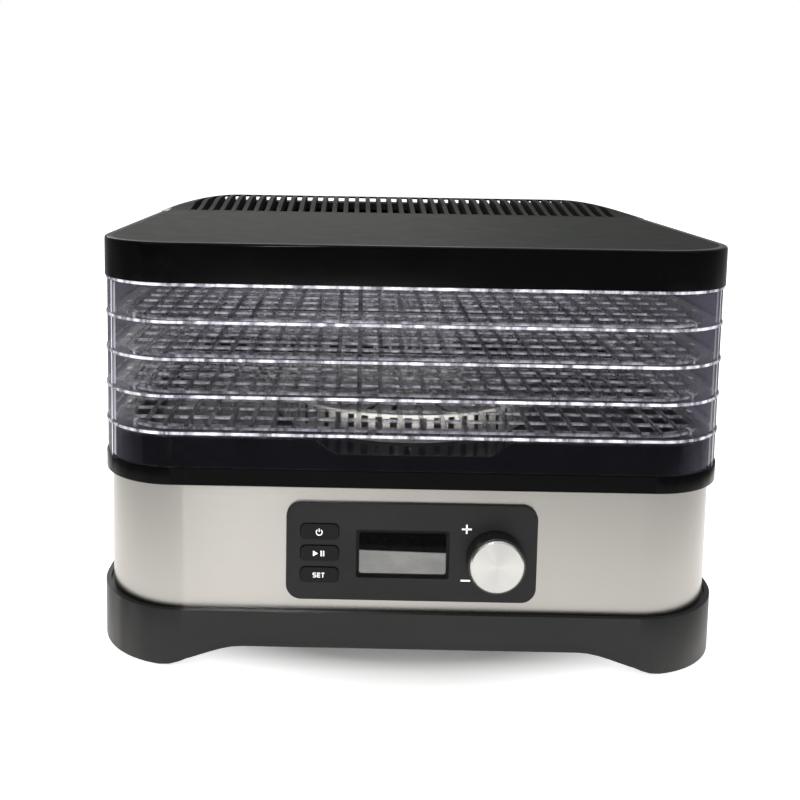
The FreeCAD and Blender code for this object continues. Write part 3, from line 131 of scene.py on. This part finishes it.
def maths(tree, operation, first, second):
    """A Math node's value, from numbers or other nodes' outputs."""
    node = add_node(tree, "Math", {"operation": operation})
    for socket, value in zip(node.inputs, (first, second)):
        if isinstance(value, (int, float)):
            socket.default_value = value
        else:
            tree.links.new(value, socket)
    return node.outputs["Value"]


def raise_surface(tree, shader, height, distance):
    """Bumps the shader's surface by a height value, distance metres high."""
    bump = add_node(tree, "Bump", values={"Strength": 1.0, "Distance": distance})
    tree.links.new(height, bump.inputs["Height"])
    tree.links.new(bump.outputs["Normal"], shader.inputs["Normal"])


def tint(colour, factor):
    return tuple(channel * factor for channel in colour)


# ---------------------------------------------------------------- materials


def moulded_plastic(name, colour, roughness, grain, grain_height, specular=0.5, mottle=0.12):
    """Injection-moulded plastic: a fine grain, faint flow marks and an uneven gloss."""
    material, tree, shader = new_material(name)
    flow = noise(tree, 18.0, (1, 1, 2.5))
    skin = noise(tree, grain, detail=2.0)
    patches = noise(tree, 55.0)
    dark, light = tint(colour, 1 - mottle), tint(colour, 1 + mottle)
    toned = blend_colours(tree, spread(tree, flow, 0, 1), dark, light)
    tree.links.new(toned, shader.inputs["Base Color"])
    gloss = maths(tree, "ADD", spread(tree, patches, -0.05, 0.05), spread(tree, skin, 0.9, 1.1))
    tree.links.new(maths(tree, "MULTIPLY", gloss, roughness), shader.inputs["Roughness"])
    set_inputs(shader, {"Specular IOR Level": specular})
    raise_surface(tree, shader, skin, grain_height)
    return material


def gloss_plastic(name, colour, roughness, specular):
    """Polished plastic: nearly flat, with long shallow waves and a few fine dust marks."""
    material, tree, shader = new_material(name)
    waves = noise(tree, 14.0, detail=1.0)
    dust = spread(tree, noise(tree, 900.0, detail=2.0), 0, 1, 0.66, 0.74)
    smears = noise(tree, 40.0, (1, 1, 0.3))
    tree.links.new(blend_colours(tree, dust, colour, tint(colour, 2.2)), shader.inputs["Base Color"])
    wiped = spread(tree, smears, roughness * 0.8, roughness * 1.35)
    dulled = maths(tree, "ADD", wiped, maths(tree, "MULTIPLY", dust, 0.12))
    tree.links.new(dulled, shader.inputs["Roughness"])
    set_inputs(shader, {"Specular IOR Level": specular})
    raise_surface(tree, shader, waves, 0.00015)
    return material


def clear_plastic(name, colour, roughness, face_on, edge_on):
    """Clear moulded plastic: a straight look through it, denser and glossier where it is seen edge on."""
    material, tree, shader = new_material(name)
    haze = noise(tree, 45.0, (1, 1, 0.5))
    tinted = blend_colours(tree, spread(tree, haze, 0, 1), tint(colour, 0.9), tint(colour, 1.08))
    tree.links.new(tinted, shader.inputs["Base Color"])
    tree.links.new(spread(tree, haze, roughness * 0.6, roughness * 1.5), shader.inputs["Roughness"])
    slant = add_node(tree, "LayerWeight", values={"Blend": 0.5}).outputs["Facing"]
    cover = spread(tree, slant, face_on, edge_on, 0.25, 1.0)
    cloudy = spread(tree, haze, 0.85, 1.15)
    tree.links.new(maths(tree, "MULTIPLY", cover, cloudy), shader.inputs["Alpha"])
    set_inputs(shader, {"IOR": 1.5, "Specular IOR Level": 0.5})
    return material


def repeat_mask(tree, axis, start, pitch, width):
    """Is 1 in bands of one width, a pitch apart from start along one axis, and 0 between them."""
    split = add_node(tree, "SeparateXYZ")
    tree.links.new(object_place(tree), split.inputs["Vector"])
    along = maths(tree, "SUBTRACT", split.outputs[axis], start - pitch / 2)
    within = maths(tree, "FRACT", maths(tree, "DIVIDE", along, pitch), 0.0)
    aside = maths(tree, "ABSOLUTE", maths(tree, "SUBTRACT", within, 0.5), 0.0)
    half = width / 2 / pitch
    return spread(tree, aside, 1, 0, half * 0.85, half * 1.15)


def tray_plastic(name, colour, painted_highlight_colour):
    """The trays' clear plastic, with painted highlights: whitish and denser in the ledges and in dots where
    the mesh's bars cross.

    The highlight dots are set by place alone, and the frames share this material. So some show on the
    frames' back walls and rounded corners too, where the real trays have none.
    """
    material = clear_plastic(name, colour, 0.08, 0.015, 0.34)
    tree = material.node_tree
    shader = tree.nodes["Principled BSDF"]
    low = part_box("tray_5_frame")[0]
    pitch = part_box("tray_4_frame")[0].z - low.z
    broken = spread(tree, noise(tree, 160.0, (1, 1, 0.2), detail=4.0), 0.3, 1.0, 0.36, 0.62)
    painted_ledge_highlight = repeat_mask(tree, "Z", low.z - TRAY_LEDGE_HIGHLIGHT / 2, pitch, TRAY_LEDGE_HIGHLIGHT)
    painted_ledge_highlight = maths(tree, "MULTIPLY", painted_ledge_highlight, broken)
    columns = repeat_mask(tree, "X", 0.0, MESH_COLUMN, MESH_BAR)
    rows = repeat_mask(tree, "Y", -MESH_ROW / 2, MESH_ROW * 2, HIGHLIGHT_DOT_LENGTH)
    # Painted highlights: whitish colour and more cover in the ledge bands and at the mesh crossings.
    painted_highlights = maths(tree, "MAXIMUM", painted_ledge_highlight, maths(tree, "MULTIPLY", columns, rows))
    plain = shader.inputs["Base Color"].links[0].from_socket
    tree.links.new(blend_colours(tree, painted_highlights, plain, painted_highlight_colour), shader.inputs["Base Color"])
    clear = shader.inputs["Alpha"].links[0].from_socket
    cover = maths(tree, "MAXIMUM", clear, maths(tree, "MULTIPLY", painted_highlights, 0.88))
    tree.links.new(cover, shader.inputs["Alpha"])
    return material


def brushed_metal(name, colour, roughness, stretch, anisotropy, axis):
    """Brushed metal: fine scratches along one direction and a highlight drawn out across them."""
    material, tree, shader = new_material(name)
    scratches = noise(tree, 1.0, stretch, detail=5.0)
    wide = noise(tree, 1.0, tint(stretch, 0.12), detail=2.0)
    patches = noise(tree, 9.0)
    narrow_part = maths(tree, "MULTIPLY", scratches, 0.7)
    both = maths(tree, "ADD", narrow_part, maths(tree, "MULTIPLY", wide, 0.3))
    toned = blend_colours(tree, spread(tree, both, 0, 1), tint(colour, 0.93), tint(colour, 1.05))
    tree.links.new(toned, shader.inputs["Base Color"])
    fine = spread(tree, both, roughness * 0.86, roughness * 1.18)
    uneven = maths(tree, "ADD", fine, spread(tree, patches, -0.015, 0.015))
    tree.links.new(uneven, shader.inputs["Roughness"])
    set_inputs(shader, {"Metallic": 1.0, "Anisotropic": anisotropy, "Anisotropic Rotation": 0.25})
    tangent = add_node(tree, "Tangent", {"direction_type": "RADIAL", "axis": axis})
    tree.links.new(tangent.outputs["Tangent"], shader.inputs["Tangent"])
    raise_surface(tree, shader, scratches, 0.000012)
    return material


def plain_metal(name, colour, roughness, scale=400.0):
    """Plated or raw metal with small cloudy patches."""
    material, tree, shader = new_material(name)
    clouds = noise(tree, scale)
    toned = blend_colours(tree, spread(tree, clouds, 0, 1), tint(colour, 0.8), tint(colour, 1.1))
    tree.links.new(toned, shader.inputs["Base Color"])
    tree.links.new(spread(tree, clouds, roughness * 0.7, roughness * 1.3), shader.inputs["Roughness"])
    set_inputs(shader, {"Metallic": 1.0})
    raise_surface(tree, shader, clouds, 0.00003)
    return material


def banded(name, first, second, pitch, axis, roughness, metallic=0.0):
    """Fine bands of two tones across one axis, as on laminations or a flat cable."""
    material, tree, shader = new_material(name)
    bands = add_node(tree, "TexWave", {"wave_type": "BANDS", "bands_direction": axis},
                     {"Scale": 0.314 / pitch, "Distortion": 0.2, "Detail": 1.0})
    tree.links.new(object_place(tree), bands.inputs["Vector"])
    worn = noise(tree, 300.0)
    factor = maths(tree, "MULTIPLY", bands.outputs["Fac"], spread(tree, worn, 0.75, 1.0))
    tree.links.new(blend_colours(tree, factor, first, second), shader.inputs["Base Color"])
    tree.links.new(spread(tree, worn, roughness * 0.85, roughness * 1.15), shader.inputs["Roughness"])
    set_inputs(shader, {"Metallic": metallic})
    raise_surface(tree, shader, bands.outputs["Fac"], pitch * 0.15)
    return material


def circuit_board(name):
    """Green solder mask over copper tracks."""
    material, tree, shader = new_material(name)
    tracks = add_node(tree, "TexBrick", {"offset": 0.37, "squash": 1.6},
                      {"Scale": 90.0, "Mortar Size": 0.018, "Color1": (0.02, 0.13, 0.05, 1),
                       "Color2": (0.025, 0.17, 0.06, 1), "Mortar": (0.09, 0.32, 0.11, 1)})
    tree.links.new(object_place(tree, (1, 1, 0.9)), tracks.inputs["Vector"])
    tree.links.new(tracks.outputs["Color"], shader.inputs["Base Color"])
    tree.links.new(spread(tree, noise(tree, 200.0), 0.25, 0.4), shader.inputs["Roughness"])
    raise_surface(tree, shader, tracks.outputs["Fac"], 0.00003)
    return material


def display_glass(name, low, high):
    """The unlit display, with a painted reflection: near black above and grey below a soft, slightly tilted
    line.
    """
    material, tree, shader = new_material(name)
    place = add_node(tree, "TexCoord")
    split = add_node(tree, "SeparateXYZ")
    tree.links.new(place.outputs["Object"], split.inputs["Vector"])
    # Painted reflection: darker above the tilted line, lighter grey below it.
    line = low.z + 0.52 * (high.z - low.z)
    slope = maths(tree, "MULTIPLY", split.outputs["X"], 0.02)
    tilted = maths(tree, "ADD", split.outputs["Z"], slope)
    mask = spread(tree, tilted, 0, 1, line - 0.0004, line + 0.0003)
    upper = spread(tree, tilted, 0, 1, line + 0.003, line + 0.0042)
    painted_dark_reflection = blend_colours(tree, upper, (0.004, 0.004, 0.0042), (0.001, 0.001, 0.001))
    cloud = noise(tree, 60.0, (1, 1, 2))
    grey = blend_colours(tree, spread(tree, cloud, 0, 1), (0.19, 0.19, 0.185), (0.25, 0.25, 0.243))
    tree.links.new(blend_colours(tree, mask, grey, painted_dark_reflection), shader.inputs["Base Color"])
    tree.links.new(spread(tree, cloud, 0.22, 0.3), shader.inputs["Roughness"])
    set_inputs(shader, {"Specular IOR Level": 0.15})
    return material


def printed_white(name):
    """White pad-printed ink, a little uneven."""
    material, tree, shader = new_material(name)
    ink = noise(tree, 1500.0)
    toned = blend_colours(tree, spread(tree, ink, 0, 1), (0.74, 0.74, 0.73), (0.86, 0.86, 0.85))
    tree.links.new(toned, shader.inputs["Base Color"])
    tree.links.new(spread(tree, ink, 0.4, 0.55), shader.inputs["Roughness"])
    raise_surface(tree, shader, ink, 0.00001)
    return material


def make_materials():
    """Every material slot of the record by name, with the material that it gets."""
    lcd_low, lcd_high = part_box("lcd_window")
    return {
        "gloss_black": gloss_plastic("gloss_black", (0.0012, 0.0012, 0.0013), 0.08, 0.06),
        "matte_top": moulded_plastic(
            "matte_top", (0.021, 0.0235, 0.021), 0.62, 1800.0, 0.00006, 0.06, 0.06),
        # The second colour is the painted highlight of the tray ledges and mesh crossings.
        "tray_clear": tray_plastic("tray_clear", (0.085, 0.08, 0.12), (0.78, 0.77, 0.86)),
        "deck_black": moulded_plastic("deck_black", (0.0015, 0.0015, 0.0016), 0.16, 1500.0, 0.00001, 0.06),
        "steel": brushed_metal("steel", (0.49, 0.476, 0.455), 0.22, (7.0, 7.0, 2600.0), 0.93, "Z"),
        "skirt_grey": moulded_plastic("skirt_grey", (0.010, 0.010, 0.0103), 0.36, 1600.0, 0.00004, 0.25),
        "inner_black": moulded_plastic("inner_black", (0.02, 0.02, 0.021), 0.5, 1200.0, 0.00006),
        "rubber": moulded_plastic("rubber", (0.02, 0.02, 0.02), 0.8, 900.0, 0.0001, 0.3),
        "screw_steel": plain_metal("screw_steel", (0.55, 0.55, 0.54), 0.3),
        "guard_grey": moulded_plastic("guard_grey", (0.88, 0.86, 0.81), 0.4, 1200.0, 0.00004),
        "fan_plastic": moulded_plastic("fan_plastic", (0.05, 0.05, 0.055), 0.45, 1200.0, 0.00005),
        "motor_metal": banded(
            "motor_metal", (0.08, 0.08, 0.085), (0.22, 0.22, 0.22), 0.0012, "Z", 0.4, 1.0),
        "zinc_steel": plain_metal("zinc_steel", (0.6, 0.61, 0.6), 0.35, 250.0),
        "heater_wire": banded(
            "heater_wire", (0.18, 0.14, 0.11), (0.42, 0.36, 0.3), 0.0016, "DIAGONAL", 0.4, 1.0),
        "mica": moulded_plastic("mica", (0.5, 0.42, 0.28), 0.5, 700.0, 0.00005, mottle=0.25),
        "fuse_metal": plain_metal("fuse_metal", (0.7, 0.7, 0.68), 0.3),
        "panel_charcoal": moulded_plastic(
            "panel_charcoal", (0.011, 0.011, 0.0113), 0.42, 2200.0, 0.00003, 0.17),
        "window_clear": clear_plastic("window_clear", (0.01, 0.01, 0.01), 0.05, 0.02, 0.5),
        "lcd_glass": display_glass("lcd_glass", lcd_low, lcd_high),
        "button_grey": moulded_plastic(
            "button_grey", (0.0045, 0.0045, 0.0047), 0.38, 2200.0, 0.00003, 0.15),
        "switch_black": moulded_plastic("switch_black", (0.02, 0.02, 0.02), 0.5, 1200.0, 0.00004),
        "board_green": circuit_board("board_green"),
        "knob_black": moulded_plastic("knob_black", (0.012, 0.012, 0.0125), 0.25, 1400.0, 0.00002, 0.5),
        "spun_aluminium": brushed_metal(
            "spun_aluminium", (0.64, 0.64, 0.63), 0.24, (900, 900, 900), 0.85, "Y"),
        "ribbon_grey": banded("ribbon_grey", (0.32, 0.32, 0.33), (0.62, 0.62, 0.63), 0.0013, "X", 0.5),
        "inlet_black": moulded_plastic("inlet_black", (0.014, 0.014, 0.014), 0.45, 1100.0, 0.00006),
        "relay_blue": gloss_plastic("relay_blue", (0.03, 0.09, 0.4), 0.25, 0.5),
        "capacitor_sleeve": gloss_plastic("capacitor_sleeve", (0.03, 0.03, 0.06), 0.25, 0.5),
        "terminal_white": moulded_plastic("terminal_white", (0.72, 0.72, 0.69), 0.45, 900.0, 0.00004),
    }


def dress_nodes(materials):
    """Gives every node of the model the material of its slot in the record."""
    for part in frame["record"]["subparts"]:
        piece = frame["nodes"][part["node"]]
        piece.data.materials.clear()
        piece.data.materials.append(materials[part["material_slot"]])


# ---------------------------------------------------------------- softened edges

# Bevel widths in millimetres.
TRAY_EDGE = 0.3
EDGE_RADII = {
    "lid_frame": 0.5, "lid_panel": 0.25, "top_deck": 0.4, "base_skirt": 0.8,
    "control_panel": 0.15, "lcd_window": 0.2, "knob_body": 0.3, "knob_cap": 0.1, "fan_guard": 0.3,
    "cord_inlet": 0.4, "bottom_plate": 0.4, "fan_impeller": 0.3, "rubber_feet": 0.4, "fan_duct": 0.4,
}


def soften_edges():
    """Rounds the sharp edges of the pieces in EDGE_RADII and of the tray frames."""
    radii = dict(EDGE_RADII)
    for name in frame["nodes"]:
        if name.startswith("tray_") and name.endswith("_frame"):
            radii[name] = TRAY_EDGE
    for name, radius in radii.items():
        piece = frame["nodes"][name]
        weld = piece.modifiers.new("weld", "WELD")
        weld.merge_threshold = 0.000002
        bevel = piece.modifiers.new("bevel", "BEVEL")
        bevel.width = radius * MM
        bevel.segments = 2
        bevel.limit_method = "ANGLE"
        bevel.angle_limit = math.radians(35)
        bevel.use_clamp_overlap = True
        bevel.harden_normals = True


# ---------------------------------------------------------------- printed marks


def flat_piece(name, outlines, low_y, thickness):
    """A thin printed piece on the front: outlines are lists of (x, z) in metres, set at low_y."""
    shape = bmesh.new()
    for outline in outlines:
        corners = [shape.verts.new((x, low_y, z)) for x, z in outline]
        face = shape.faces.new(corners)
        raised = bmesh.ops.extrude_face_region(shape, geom=[face])
        moved = [item for item in raised["geom"] if isinstance(item, bmesh.types.BMVert)]
        bmesh.ops.translate(shape, verts=moved, vec=(0, -thickness, 0))
    bmesh.ops.recalc_face_normals(shape, faces=shape.faces)
    mesh = bpy.data.meshes.new(name)
    shape.to_mesh(mesh)
    shape.free()
    piece = bpy.data.objects.new(name, mesh)
    bpy.context.scene.collection.objects.link(piece)
    return piece


def arc_band(centre, radius, width, start, end, steps=24):
    """The outline of a ring segment round a centre (x, z), between two angles in degrees."""
    outline = []
    for edge, order in ((radius + width / 2, range(steps + 1)), (radius - width / 2, range(steps, -1, -1))):
        for step in order:
            angle = math.radians(start + (end - start) * step / steps)
            outline.append((centre[0] + edge * math.cos(angle), centre[1] + edge * math.sin(angle)))
    return outline


def bar(x, z, width, height):
    """The outline of a straight bar round its middle (x, z)."""
    return [(x - width / 2, z - height / 2), (x + width / 2, z - height / 2),
            (x + width / 2, z + height / 2), (x - width / 2, z + height / 2)]


def power_mark(x, z):
    """A ring that is open at the top, with a short bar in the opening."""
    size, pen = 1.75 * MM, 0.5 * MM
    ring = arc_band((x, z - 0.25 * MM), size, pen, 122, 418)
    return [ring, bar(x, z + 1.1 * MM, pen, 2.1 * MM)]


def play_pause_mark(x, z):
    """A triangle and two upright bars."""
    tall = 3.3 * MM
    play = [(x - 3.5 * MM, z - tall / 2), (x - 0.5 * MM, z), (x - 3.5 * MM, z + tall / 2)]
    return [play, bar(x + 1.35 * MM, z, 0.75 * MM, tall), bar(x + 2.75 * MM, z, 0.75 * MM, tall)]


def set_mark(x, z):
    """The word SET from bars and two round bands."""
    tall, wide, pen = 3.0 * MM, 1.75 * MM, 0.5 * MM
    pitch = 2.45 * MM
    curve = (tall - pen) / 4
    left, middle, right = x - pitch, x, x + pitch
    run = wide / 2 - curve
    letter_s = [
        arc_band((left - run, z + curve), curve, pen, 90, 270, 12),
        arc_band((left + run, z - curve), curve, pen, -90, 90, 12),
        bar(left + 0.15 * MM, z + 2 * curve, 2 * run + 0.9 * MM, pen),
        bar(left - 0.15 * MM, z - 2 * curve, 2 * run + 0.9 * MM, pen),
        bar(left, z, 2 * run + 0.1 * MM, pen),
    ]
    rise = (tall - pen) / 2
    letter_e = [bar(middle - wide / 2 + pen / 2, z, pen, tall)]
    letter_e += [bar(middle + pen / 4, z + level * rise, wide - pen / 2, pen) for level in (-1, 0, 1)]
    letter_t = [bar(right, z - pen / 2, pen, tall - pen), bar(right, z + rise, wide + 0.2 * MM, pen)]
    return letter_s + letter_e + letter_t


def print_marks(material):
    """The white marks on the buttons, and the plus and minus beside the knob."""
    ink = 0.06 * MM
    marks = (
        ("button_power", "power_button", power_mark),
        ("button_play_pause", "play_pause_button", play_pause_mark),
        ("button_set", "set_button", set_mark),
    )
    for node, body, draw in marks:
        low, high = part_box(node)
        middle = (low + high) / 2
        piece = flat_piece(node + "_mark", draw(middle.x - 0.3 * MM, middle.z), low.y + ink / 2, ink)
        finish_piece(piece, body, material)
    low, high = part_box("control_panel")
    knob_low, knob_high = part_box("knob_body")
    knob = (knob_low + knob_high) / 2
    reach = 16.6 * MM
    arm, pen = 5.6 * MM, 0.95 * MM
    top = (knob.x - reach, knob.z + 17.0 * MM)
    bottom = (knob.x - reach, knob.z - 14.4 * MM)
    plus = [bar(*top, arm, pen), bar(*top, pen, arm)]
    minus = [bar(*bottom, arm, pen)]
    for name, outlines in (("plus_mark", plus), ("minus_mark", minus)):
        piece = flat_piece(name, outlines, low.y + ink / 2, ink)
        finish_piece(piece, "base", material)


def finish_piece(piece, body, material):
    """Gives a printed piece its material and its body."""
    piece.data.materials.append(material)
    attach(piece, body)


# ---------------------------------------------------------------- studio


def make_floor():
    """A plain pale floor that glows a little, with a painted shadow under the machine where it glows less.

    In reflections it shows a painted pool of light that dims further out, and through clear plastic it is
    dark: painted shade for the dark inside of the tray stack.
    """
    bpy.ops.mesh.primitive_plane_add(size=FLOOR_SIZE, location=(0, 0, 0))
    floor = bpy.context.object
    floor.name = "floor"
    material, tree, shader = new_material("floor_white")
    speckle = noise(tree, 30.0)
    pale = blend_colours(tree, spread(tree, speckle, 0, 1), (0.80, 0.80, 0.80), (0.82, 0.82, 0.82))
    place = add_node(tree, "TexCoord")
    far = add_node(tree, "VectorMath", {"operation": "LENGTH"})
    tree.links.new(place.outputs["Object"], far.inputs["Vector"])
    # Painted pool of light, seen only in reflections: the floor's colour and glow fall off with distance
    # from the machine.
    away = spread(tree, far.outputs["Value"], 0, 1, 0.30, 0.75)
    reflected_painted_falloff = blend_colours(tree, away, (0.80, 0.79, 0.77), (0.20, 0.20, 0.20))
    reflected_painted_glow = blend_colours(tree, away, (0.60, 0.59, 0.57), (0.08, 0.08, 0.08))
    path = add_node(tree, "LightPath")
    gloss = path.outputs["Is Glossy Ray"]
    # Painted shade: seen through clear plastic, the floor's colour and glow turn dark.
    through = maths(tree, "GREATER_THAN", path.outputs["Transparent Depth"], 0.5)
    plain = blend_colours(tree, gloss, pale, reflected_painted_falloff)
    coloured = blend_colours(tree, through, plain, FLOOR_SHADE_THROUGH_PLASTIC)
    tree.links.new(coloured, shader.inputs["Base Color"])
    # Painted shadow under the machine: the floor's glow drops there.
    beyond_painted_shadow = spread(tree, far.outputs["Value"], 0, 1, 0.15, 0.195)
    glow_with_painted_shadow = blend_colours(tree, beyond_painted_shadow, (0.12, 0.12, 0.12), (0.74, 0.74, 0.74))
    bright = blend_colours(tree, gloss, glow_with_painted_shadow, reflected_painted_glow)
    glowing = blend_colours(tree, through, bright, FLOOR_GLOW_SHADE_THROUGH_PLASTIC)
    tree.links.new(glowing, shader.inputs["Emission Color"])
    set_inputs(shader, {"Roughness": 0.6, "Specular IOR Level": 0.2, "Emission Strength": 1.0})
    floor.data.materials.append(material)


def make_world():
    """A room that lights the machine more from behind and above than from the front.

    Seen directly it is plain white, and through clear plastic it is dark: painted shade for the dark inside
    of the tray stack.
    """
    world = bpy.data.worlds.new("studio")
    bpy.context.scene.world = world
    world.use_nodes = True
    tree = world.node_tree
    background = tree.nodes["Background"]
    place = add_node(tree, "TexCoord")
    split = add_node(tree, "SeparateXYZ")
    tree.links.new(place.outputs["Generated"], split.inputs["Vector"])
    depth = spread(tree, split.outputs["Y"], 0, 1, -0.35, 0.25)
    level = blend_colours(tree, depth, (0.08, 0.079, 0.077), (0.30, 0.30, 0.30))
    height = spread(tree, split.outputs["Z"], 0, 1, 0.35, 0.8)
    lit = blend_colours(tree, height, level, (0.85, 0.85, 0.85))
    path = add_node(tree, "LightPath")
    # Painted shade: seen through clear plastic, the room turns dark.
    open_view = maths(tree, "LESS_THAN", path.outputs["Transparent Depth"], 0.5)
    behind = blend_colours(tree, open_view, ROOM_SHADE_THROUGH_PLASTIC, ROOM_WHITE)
    seen = blend_colours(tree, path.outputs["Is Camera Ray"], lit, behind)
    tree.links.new(seen, background.inputs["Color"])
    set_inputs(background, {"Strength": 1.0})


def area_light(name, place, target, width, height, power, mirrored=True):
    """A soft rectangular light aimed at the target. Reflections show it only where it is mirrored."""
    data = bpy.data.lights.new(name, "AREA")
    data.shape = "RECTANGLE"
    data.size = width
    data.size_y = height
    data.energy = power
    data.color = LIGHT_COLOUR
    light = bpy.data.objects.new(name, data)
    light.location = place
    light.rotation_euler = (Vector(target) - Vector(place)).to_track_quat("-Z", "Y").to_euler()
    light.visible_glossy = mirrored
    bpy.context.scene.collection.objects.link(light)


def make_lights():
    """A narrow key from high in front, a low front light that nothing mirrors, and softer fills."""
    middle = (0.0, 0.0, 0.12)
    area_light("key", (-0.28, -1.9, 1.2), middle, 0.06, 1.8, 12.0)
    area_light("front", (-0.1, -1.7, 0.13), middle, 0.5, 0.2, 26.0, False)
    area_light("fill_right", (1.9, -1.1, 0.9), middle, 0.4, 1.4, 0.8)
    area_light("top", (0.1, 0.4, 2.2), middle, 2.2, 1.4, 13.0)
    area_light("back", (-0.6, 2.1, 1.1), middle, 2.0, 1.0, 10.0)


def make_camera():
    """The viewing angle: close in front, a little left of the middle and above the lid."""
    lid_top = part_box("lid_frame")[0].z + LID_HEIGHT
    aside, distance, above = -34.4 * MM, 582.4 * MM, 65.0 * MM
    place = Vector((aside, -(LID_DEPTH / 2 + distance), lid_top + above))
    pitch, yaw, roll = math.radians(6.06), math.radians(-0.47), math.radians(0.92)
    forward = Vector((math.sin(yaw) * math.cos(pitch), math.cos(yaw) * math.cos(pitch), -math.sin(pitch)))
    right = Vector((math.cos(yaw), -math.sin(yaw), 0))
    up = right.cross(forward)
    turned_right = right * math.cos(roll) + up * math.sin(roll)
    turned_up = up * math.cos(roll) - right * math.sin(roll)
    data = bpy.data.cameras.new("camera")
    data.sensor_width = 36.0
    data.lens = 46.26
    data.shift_x = 0.0625
    data.shift_y = -0.2
    camera = bpy.data.objects.new("camera", data)
    turned = Matrix((turned_right, turned_up, -forward)).transposed()
    camera.matrix_world = Matrix.Translation(place) @ turned.to_4x4()
    bpy.context.scene.collection.objects.link(camera)
    bpy.context.scene.camera = camera


# ---------------------------------------------------------------- the scene

make_camera()
make_floor()
make_world()
make_lights()
dress_nodes(make_materials())
soften_edges()
print_marks(printed_white("printed_white"))
bpy.context.scene.view_settings.view_transform = "Standard"
